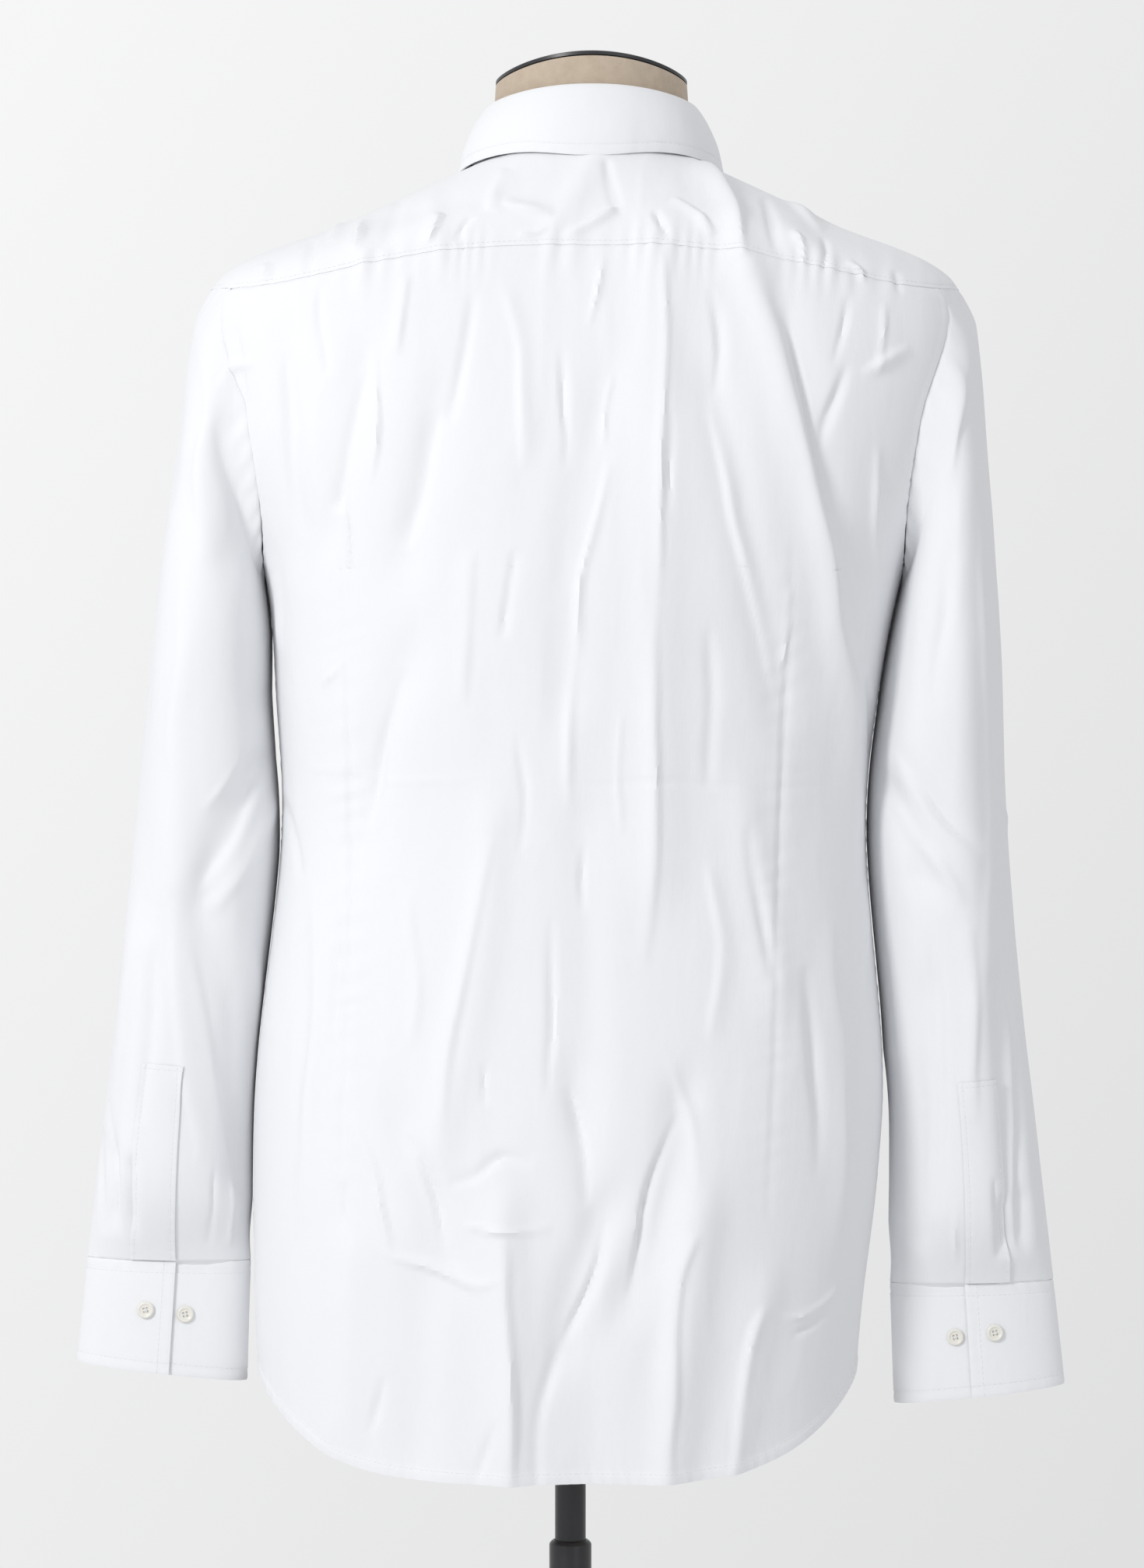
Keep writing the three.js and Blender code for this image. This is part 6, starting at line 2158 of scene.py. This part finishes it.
@dataclass
class Buttons:
    """All buttons of the shirt.

    Attributes:
        torso: The torso, whose band carries the front buttons.
        sleeves: The sleeves, whose cuffs carry two buttons each.
    """

    torso: Torso
    sleeves: list[Sleeve]

    def front_places(self) -> list[tuple[np.ndarray, np.ndarray]]:
        """Works out where the front buttons lie on the band.

        Returns:
            Their places and directions.
        """
        band = self.torso.grids["front_placket"]
        middle = band.points.shape[1] // 2
        line, normals = band.points[:, middle], band.normals[:, middle]
        places = []
        for height in FRONT_BUTTON_HEIGHTS:
            place = np.array([np.interp(height, line[:, 2], line[:, k]) for k in range(3)])
            normal = unit(np.array([np.interp(height, line[:, 2], normals[:, k]) for k in range(3)]))
            places.append((place, normal))
        return places

    def dress(self, resin: bpy.types.Material, thread: bpy.types.Material) -> None:
        """Makes the buttons and their thread.

        Args:
            resin: The buttons' finish.
            thread: The thread's finish.
        """
        strands = Stitching("button_thread", length=3.0, pitch=2.7, radius=0.34)
        for number, (place, normal) in enumerate(self.front_places(), start=1):
            Button(f"button_{number}", place + LAY_GAP * normal, normal).dress(resin, strands)
        front, level = -math.pi / 2, COLLAR_BUTTON_LEVEL
        place, normal = STAND.point(front, level), STAND.normal(front, level)
        Button("button_collar", place + LAY_GAP * normal, normal).dress(resin, strands)
        for sleeve in self.sleeves:
            for number, (degrees, level) in enumerate(CUFF_BUTTONS, start=1):
                angle = math.radians(degrees)
                on_lap = angle + 2 * math.pi if angle < CUFF_EDGE else angle
                place, normal = sleeve.cuff_place(np.array(on_lap), np.array(level))
                node = f"button_cuff_{sleeve.arm.side}_{number}"
                Button(node, place + LAY_GAP * normal, normal).dress(resin, strands)
        strands.build(thread)


def turned_mesh(
    name: str, profile: list[tuple[float, float]], sides: int, axis_x: bool = False
) -> bpy.types.Mesh:
    """Turns a closed profile round an axis.

    Args:
        name: The mesh's name.
        profile: Places (radius, height) of the profile, in millimetres.
        sides: Number of sides.
        axis_x: Whether the axis is +X and not +Z.

    Returns:
        The mesh, in metres.
    """
    turn = 2 * math.pi * np.arange(sides) / sides
    rows = []
    for radius, height in profile:
        ring = [radius * np.cos(turn), radius * np.sin(turn), np.full(sides, height)]
        rows.append(np.stack([ring[2], ring[0], ring[1]] if axis_x else ring, -1))
    faces = ring_faces(len(profile), sides, joined=True)
    return finish_mesh(name, np.concatenate(rows) * MM, faces, 35)


@dataclass
class DressForm:
    """The limbless form in its linen cover, with its neck cap.

    Attributes:
        inset: How far the cover lies under the yoke's outer face.
        columns: Number of sides.
        cap_gap: Gap between the cover and the neck cap.
        cap_profile: The cap's rings, as shares of the way in and heights.
    """

    inset: float = 3.4
    columns: int = 192
    cap_gap: float = 0.35
    cap_profile: tuple = (
        (0.03, 0.0), (0.0, 0.5), (0.0, 2.4), (0.012, 2.9), (0.06, 3.0), (0.5, 3.0), (0.97, 3.0),
    )

    def ring(self, outline: Outline, level: float, inset: float = 0.0) -> np.ndarray:
        """Makes a ring of the form.

        Args:
            outline: The outlines to read.
            level: The level.
            inset: How far the ring moves in.

        Returns:
            Places in millimetres.
        """
        shares = np.linspace(0, 1, self.columns + 1)[:-1]
        angles = outline.shared_angles(level, -math.pi / 2, 1.5 * math.pi, shares)
        outward = outline.normal(angles, np.full(angles.shape, float(level)))
        return outline.point(angles, level) - inset * outward

    def dress(self, linen: bpy.types.Material, enamel: bpy.types.Material) -> None:
        """Makes the form and its cap.

        Args:
            linen: The cover's finish.
            enamel: The cap's finish.
        """
        rings = [self.ring(FORM_LOWER, level) for level in range(9)]
        rings += [self.ring(BODY, level, self.inset) for level in (8.5, 9.0, 9.5)]
        rings += [self.ring(FORM_NECK, level) for level in range(3)]
        body = smooth_rows(np.stack(rings), graded(1000.0, 1.2, 5.0, 20.0))
        middle_low, middle_high = body[0].mean(axis=0), body[-1].mean(axis=0)
        socket = np.array([0.0, 0.0, 790.0])
        turn = np.arctan2(body[0][:, 1], body[0][:, 0] - middle_low[0])
        bore = socket + 9.9 * np.stack([np.cos(turn), np.sin(turn), np.zeros_like(turn)], -1)
        under = [bore + (body[0] - bore) * share for share in (0.0, 0.3, 0.6, 0.9)]
        plug = [bore + np.array([0, 0, 10.35])]
        over = [body[-1] + (middle_high - body[-1]) * share for share in (0.02, 0.3, 0.7, 0.98)]
        stack = np.concatenate([np.stack(plug + under), body, np.stack(over)])
        cover = stack_mesh("dress_form_cover", stack, 50)
        form = add_piece("dress_form_cover", cover, linen, BODY_NAME)
        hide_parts("dress_form")
        top = self.ring(FORM_NECK, 2.0)
        centre = top.mean(axis=0)
        cap_rings = []
        for share, up in self.cap_profile:
            cap_rings.append(top + (centre - top) * share + np.array([0, 0, self.cap_gap + up]))
        cap_mesh = stack_mesh("neck_cap_plate", np.stack(cap_rings), 50)
        cap = add_piece("neck_cap_plate", cap_mesh, enamel, BODY_NAME)
        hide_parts("neck_cap")


@dataclass
class PoleAndBase:
    """The telescoping pole, its clamp and the round base.

    Attributes:
        sides: Number of sides of each turned piece.
        pole_radius: Half the width of the upper tube in millimetres.
        lower_radius: Half the width of the lower tube.
        run_gap: Gap between pieces that slide or turn in each other.
    """

    sides: int = 96
    pole_radius: float = 9.5
    lower_radius: float = 11.0
    run_gap: float = 0.35

    def dress(self, enamel: bpy.types.Material, steel: bpy.types.Material) -> None:
        """Makes the metal pieces.

        Args:
            enamel: The black enamel.
            steel: The screw's finish.
        """
        inner, lower_bore = self.pole_radius - 1.5, self.pole_radius + self.run_gap
        upper = [(inner, 340), (self.pole_radius, 340), (self.pole_radius, 800), (inner, 800)]
        outer = self.lower_radius
        lower = [(lower_bore, 5.35), (outer, 5.35), (outer, 654.4), (10.6, 655), (lower_bore, 655)]
        clamp_bore, neck_bore = self.lower_radius + self.run_gap, self.pole_radius + self.run_gap
        clamp = [
            (clamp_bore, 627), (12.4, 627), (13, 627.6), (13, 665.2), (12.7, 666.2), (11.2, 667.7),
            (10.7, 668),
            (neck_bore, 668), (neck_bore, 656), (clamp_bore, 656),
        ]
        socket = self.lower_radius + self.run_gap
        base = [
            (0.01, 0), (168.6, 0), (169.6, 0.5), (170, 1.5), (170, 4.6), (169.4, 6.3), (168, 7.4), (165.5, 8),
            (60, 8.6), (26, 9.6), (23, 10.4), (21, 12), (20.2, 14.2), (20, 17), (20, 32.6), (19.6, 33.6),
            (18.8, 34),
            (socket, 34), (socket, 5), (0.01, 5),
        ]
        for name, node, body, profile in (
            ("upper_tube_enamel", "upper_tube", "pole", upper),
            ("lower_tube_enamel", "lower_tube", "stand", lower),
            ("clamp_collar_enamel", "clamp_collar", "stand", clamp),
            ("base_enamel", "base", "stand", base),
        ):
            piece = add_piece(name, turned_mesh(name, profile, self.sides), enamel, body)
            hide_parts(node)
        self.dress_screw(steel)

    def dress_screw(self, steel: bpy.types.Material) -> None:
        """Makes the wing screw of the clamp.

        Args:
            steel: Its finish.
        """
        start, end, height = 9.85, 24.0, 642.0
        profile = [(0.01, start), (1.9, start), (2.3, start + 0.4)]
        step = start + 0.8
        while step < end - 4:
            profile += [(2.5, step), (2.15, step + 0.4)]
            step += 0.8
        head = ((2.5, -3), (3.6, -2), (3.9, -0.5), (3.9, 4.5), (3.2, 5.5), (0.01, 5.5))
        profile += [(radius, end + offset) for radius, offset in head]
        mesh = turned_mesh("clamp_screw_steel", profile, 40, axis_x=True)
        for vertex in mesh.vertices:
            vertex.co.z += height * MM
        screw = add_piece("clamp_screw_steel", mesh, steel, "screw")
        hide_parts("clamp_screw")
        turn = np.linspace(0, 2 * math.pi, 40, endpoint=False)
        for number, sign in enumerate((1, -1), start=1):
            outline_x = end + 2.2 + 3.0 * np.cos(turn) * (1 + 0.35 * np.sin(turn))
            outline_z = 4.4 + 3.4 * np.sin(turn)
            rings = []
            for share, thick in ((0.0, -1.5), (0.9, -1.5), (1.0, -0.9), (1.0, 0.9), (0.9, 1.5), (0.0, 1.5)):
                x = end + 2.2 + (outline_x - end - 2.2) * max(share, 0.02)
                z = 4.4 + (outline_z - 4.4) * max(share, 0.02)
                rings.append(np.stack([x, np.full(40, thick), height + sign * z], -1))
            name = f"clamp_wing_{number}"
            add_piece(name, stack_mesh(name, np.stack(rings), 50), steel, "screw")


@dataclass
class Nodes:
    """A small helper that lays nodes in a material or world.

    Attributes:
        tree: The node tree.
    """

    tree: bpy.types.NodeTree

    def add(self, kind: str, **inputs: object) -> bpy.types.Node:
        """Adds a node.

        Args:
            kind: The node's type.
            inputs: Values of its inputs, or sockets that feed them, with _ for a space in a name.

        Returns:
            The node.
        """
        node = self.tree.nodes.new(kind)
        for name, value in inputs.items():
            numbered = name[0] == "i" and name[1:].isdigit()
            socket = node.inputs[int(name[1:]) if numbered else name.replace("_", " ")]
            if isinstance(value, bpy.types.NodeSocket):
                self.tree.links.new(value, socket)
            else:
                socket.default_value = value
        return node

    def noise(self, vector: bpy.types.NodeSocket, scale: float, detail: float = 3.0) -> bpy.types.NodeSocket:
        """Returns the factor of a noise.

        Args:
            vector: Where it is read.
            scale: Cells in a metre.
            detail: Its octaves.
        """
        return self.add("ShaderNodeTexNoise", Vector=vector, Scale=scale, Detail=detail).outputs["Fac"]

    def math(self, operation: str, first: object, second: object = 0.0) -> bpy.types.NodeSocket:
        """Adds a sum.

        Args:
            operation: What is done.
            first: The first value.
            second: The second value.

        Returns:
            The sum's result.
        """
        node = self.add("ShaderNodeMath", i0=first, i1=second)
        node.operation = operation
        return node.outputs[0]

    def blend(self, share: bpy.types.NodeSocket, first: tuple, second: tuple) -> bpy.types.NodeSocket:
        """Mixes two colours.

        Args:
            share: Share of the second colour.
            first: The first colour.
            second: The second colour.

        Returns:
            The mixed colour.
        """
        node = self.add("ShaderNodeMix")
        node.data_type = "RGBA"
        self.tree.links.new(share, node.inputs[0])
        node.inputs[6].default_value = (*first, 1.0)
        node.inputs[7].default_value = (*second, 1.0)
        return node.outputs[2]

    def weave(self, vector: bpy.types.NodeSocket, pitch: float) -> bpy.types.NodeSocket:
        """Makes a plain weave.

        Args:
            vector: Where it is read.
            pitch: Width of two threads in metres.

        Returns:
            Height of the weave.
        """
        scale = 2 * math.pi / 20 / pitch
        heights = []
        for direction in ("X", "Z"):
            wave = self.add("ShaderNodeTexWave", Vector=vector, Scale=scale, Distortion=0.6, Detail=1.0)
            wave.bands_direction = direction
            heights.append(wave.outputs["Fac"])
        return self.math("MULTIPLY", heights[0], heights[1])

    def bump(
        self, height: bpy.types.NodeSocket, strength: float, distance: float, normal: object = None
    ) -> bpy.types.NodeSocket:
        """Adds a bump.

        Args:
            height: The bump's height.
            strength: Its strength.
            distance: Its depth in metres.
            normal: The normal under it, or none.

        Returns:
            The normal with the bump.
        """
        node = self.add("ShaderNodeBump", Height=height, Strength=strength, Distance=distance)
        if normal is not None:
            self.tree.links.new(normal, node.inputs["Normal"])
        return node.outputs["Normal"]


@dataclass(frozen=True)
class Finish:
    """A finish of the object.

    Attributes:
        name: The material's name.
        colour: Its main colour.
        second: The colour that it wanders to.
        roughness: Its mean roughness.
        grain: Cells of its unevenness in a metre.
    """

    name: str
    colour: tuple[float, float, float]
    second: tuple[float, float, float]
    roughness: float
    grain: float

    def start(self) -> tuple[bpy.types.Material, Nodes, bpy.types.Node, bpy.types.NodeSocket]:
        """Starts the material with its colour and roughness.

        Returns:
            The material, its node helper, its shader and its place socket.
        """
        material = bpy.data.materials.new(self.name)
        material.use_nodes = True
        nodes = Nodes(material.node_tree)
        shader = material.node_tree.nodes["Principled BSDF"]
        place = nodes.add("ShaderNodeTexCoord").outputs["Object"]
        cloud = nodes.noise(place, self.grain)
        nodes.tree.links.new(nodes.blend(cloud, self.colour, self.second), shader.inputs["Base Color"])
        shader.inputs["Roughness"].default_value = self.roughness
        return material, nodes, shader, place


@dataclass(frozen=True)
class WovenCloth(Finish):
    """Plain woven cloth.

    Attributes:
        pitch: Width of two threads in metres.
        depth: Depth of the weave in metres.
        sheen: Weight of the soft sheen.
        wrinkle: Depth of the finest wrinkles in metres.
    """

    pitch: float = 0.0006
    depth: float = 0.00006
    sheen: float = 0.12
    wrinkle: float = 0.0

    def build(self) -> bpy.types.Material:
        """Makes the material.

        Returns:
            The material.
        """
        material, nodes, shader, place = self.start()
        weave = nodes.weave(place, self.pitch)
        long_threads = nodes.add("ShaderNodeMapping", Vector=place, Scale=(1.0, 1.0, 0.22)).outputs[0]
        slub = nodes.noise(long_threads, 420.0, 2.0)
        stretched = nodes.add("ShaderNodeMapping", Vector=place, Scale=(1.0, 1.0, 0.3)).outputs[0]
        wrinkles = nodes.bump(nodes.noise(stretched, 62.0, 5.0), 0.5, self.wrinkle)
        soft = nodes.bump(slub, 0.16, self.depth * 1.6, wrinkles)
        nodes.tree.links.new(nodes.bump(weave, 0.3, self.depth, soft), shader.inputs["Normal"])
        shader.inputs["Sheen Weight"].default_value = self.sheen
        shader.inputs["Sheen Roughness"].default_value = 0.45
        shader.inputs["Specular IOR Level"].default_value = 0.25
        return material


@dataclass(frozen=True)
class SmoothResin(Finish):
    """Pearly resin of the buttons."""

    def build(self) -> bpy.types.Material:
        """Makes the material.

        Returns:
            The material.
        """
        material, nodes, shader, place = self.start()
        swirl = nodes.noise(place, 900.0, 2.0)
        nodes.tree.links.new(nodes.bump(swirl, 0.05, 0.00005), shader.inputs["Normal"])
        shader.inputs["Coat Weight"].default_value = 0.4
        shader.inputs["Coat Roughness"].default_value = 0.12
        return material


@dataclass(frozen=True)
class Metal(Finish):
    """Enamelled or plated metal.

    Attributes:
        metallic: 1 for bare metal, 0 for enamel.
    """

    metallic: float = 0.0

    def build(self) -> bpy.types.Material:
        """Makes the material.

        Returns:
            The material.
        """
        material, nodes, shader, place = self.start()
        fine = nodes.noise(place, 1400.0, 2.0)
        spread = nodes.math("MULTIPLY_ADD", nodes.noise(place, 60.0), 0.16)
        spread.node.inputs[2].default_value = self.roughness - 0.08
        nodes.tree.links.new(spread, shader.inputs["Roughness"])
        nodes.tree.links.new(nodes.bump(fine, 0.08, 0.00004), shader.inputs["Normal"])
        shader.inputs["Metallic"].default_value = self.metallic
        return material


@dataclass
class Studio:
    """Camera, lights, backdrop colour and floor.

    Attributes:
        camera_place: Place of the camera in metres.
        lens: Its focal length in millimetres.
    """

    camera_place: tuple[float, float, float] = (-0.001, 2.7, 1.134)
    lens: float = 100.5

    def set_camera(self) -> None:
        """Puts the camera behind the shirt, as in the photograph."""
        data = bpy.data.cameras.new("studio_camera")
        data.lens, data.sensor_width = self.lens, 36.0
        camera = bpy.data.objects.new("studio_camera", data)
        camera.location = self.camera_place
        camera.rotation_euler = (math.radians(90), 0, math.radians(180))
        bpy.context.scene.collection.objects.link(camera)
        bpy.context.scene.camera = camera

    def set_light(
        self, name: str, place: tuple, aim: tuple, size: float, power: float, colour: tuple
    ) -> None:
        """Adds a soft light.

        Args:
            name: The light's name.
            place: Its place in metres.
            aim: The place that it points at.
            size: Its width in metres.
            power: Its power in watts.
            colour: Its colour.
        """
        data = bpy.data.lights.new(name, "AREA")
        data.shape, data.size, data.energy, data.color = "DISK", size, power, colour
        light = bpy.data.objects.new(name, data)
        light.location = place
        way = np.array(aim) - np.array(place)
        yaw, pitch = math.atan2(way[1], way[0]), math.acos(-way[2] / np.linalg.norm(way))
        light.rotation_euler = (0.0, 0.0, 0.0)
        light.rotation_mode = "XYZ"
        light.rotation_euler = (pitch, 0, yaw - math.pi / 2)
        bpy.context.scene.collection.objects.link(light)

    def set_world(self) -> None:
        """Gives the backdrop a pale colour that darkens to one side and downwards."""
        world = bpy.data.worlds.new("studio_backdrop")
        bpy.context.scene.world = world
        world.use_nodes = True
        nodes = Nodes(world.node_tree)
        way = nodes.add("ShaderNodeTexCoord").outputs["Generated"]
        parts = nodes.add("ShaderNodeSeparateXYZ", Vector=way).outputs
        behind = nodes.math("MULTIPLY_ADD", parts[1], -0.5)
        behind.node.inputs[2].default_value = 0.5
        share = nodes.math("ADD", behind, nodes.math("MULTIPLY", parts[0], 0.06))
        colour = nodes.blend(share, (0.60, 0.61, 0.625), (0.925, 0.927, 0.93))
        left, up = nodes.math("MULTIPLY", parts[0], 2.2), nodes.math("MULTIPLY", parts[2], 1.4)
        slope = nodes.math("ADD", left, up)
        tone = nodes.math("ADD", slope, 0.5)
        tone.node.use_clamp = True
        background = world.node_tree.nodes["Background"]
        nodes.tree.links.new(colour, background.inputs["Color"])
        strength = nodes.math("MULTIPLY_ADD", tone, 0.19)
        strength.node.inputs[2].default_value = 0.81
        nodes.tree.links.new(strength, background.inputs["Strength"])

    def set_floor(self) -> None:
        """Adds the pale round floor."""
        mesh = turned_mesh("studio_floor", [(0.01, -0.4), (3000, -0.4), (3000, -8), (0.01, -8)], 96)
        floor = bpy.data.objects.new("studio_floor", mesh)
        bpy.context.scene.collection.objects.link(floor)
        tones = (0.74, 0.745, 0.75), (0.70, 0.705, 0.71)
        mesh.materials.append(WovenCloth("floor_paint", *tones, 0.8, 3.0, 0.004, 0.0001, 0.0).build())

    def build(self) -> None:
        """Makes the studio."""
        bpy.context.scene.view_settings.view_transform = "Standard"
        self.set_camera()
        self.set_world()
        self.set_floor()
        self.set_light("key", (1.75, 2.35, 2.2), (0, 0, 1.15), 0.7, 38, (1.0, 0.995, 0.99))
        self.set_light("fill", (-1.7, 2.6, 1.7), (0, 0, 1.1), 1.6, 8, (0.96, 0.98, 1.0))


def main() -> None:
    """Builds the dressed shirt in order and reports each piece."""
    logging.basicConfig(level=logging.INFO, format="%(name)s: %(message)s")
    white, shade = (0.868, 0.874, 0.89), (0.85, 0.857, 0.875)
    cloth = WovenCloth("shirting", white, shade, 0.82, 9.0, wrinkle=0.0012).build()
    thread = WovenCloth("sewing_thread", (0.84, 0.85, 0.87), (0.78, 0.79, 0.81), 0.6, 40.0, 0.0004).build()
    beige, brown = (0.60, 0.50, 0.40), (0.46, 0.37, 0.28)
    linen = WovenCloth("form_linen", beige, brown, 0.9, 170.0, 0.0013, 0.0003, 0.2).build()
    resin = SmoothResin("button_resin", (0.86, 0.84, 0.78), (0.80, 0.775, 0.70), 0.28, 260.0).build()
    enamel = Metal("black_enamel", (0.018, 0.018, 0.02), (0.03, 0.03, 0.033), 0.36, 30.0).build()
    steel = Metal("zinc_plated_steel", (0.45, 0.46, 0.48), (0.38, 0.39, 0.41), 0.32, 200.0, 1.0).build()
    Studio().build()
    torso = Torso()
    torso.dress(cloth, thread)
    sleeves = [Sleeve(arm) for arm in ARMS]
    for sleeve in sleeves:
        sleeve.dress(cloth, thread)
    Collar().dress(cloth, thread)
    Buttons(torso, sleeves).dress(resin, thread)
    DressForm().dress(linen, enamel)
    PoleAndBase().dress(enamel, steel)


if __name__ == "__main__":
    main()
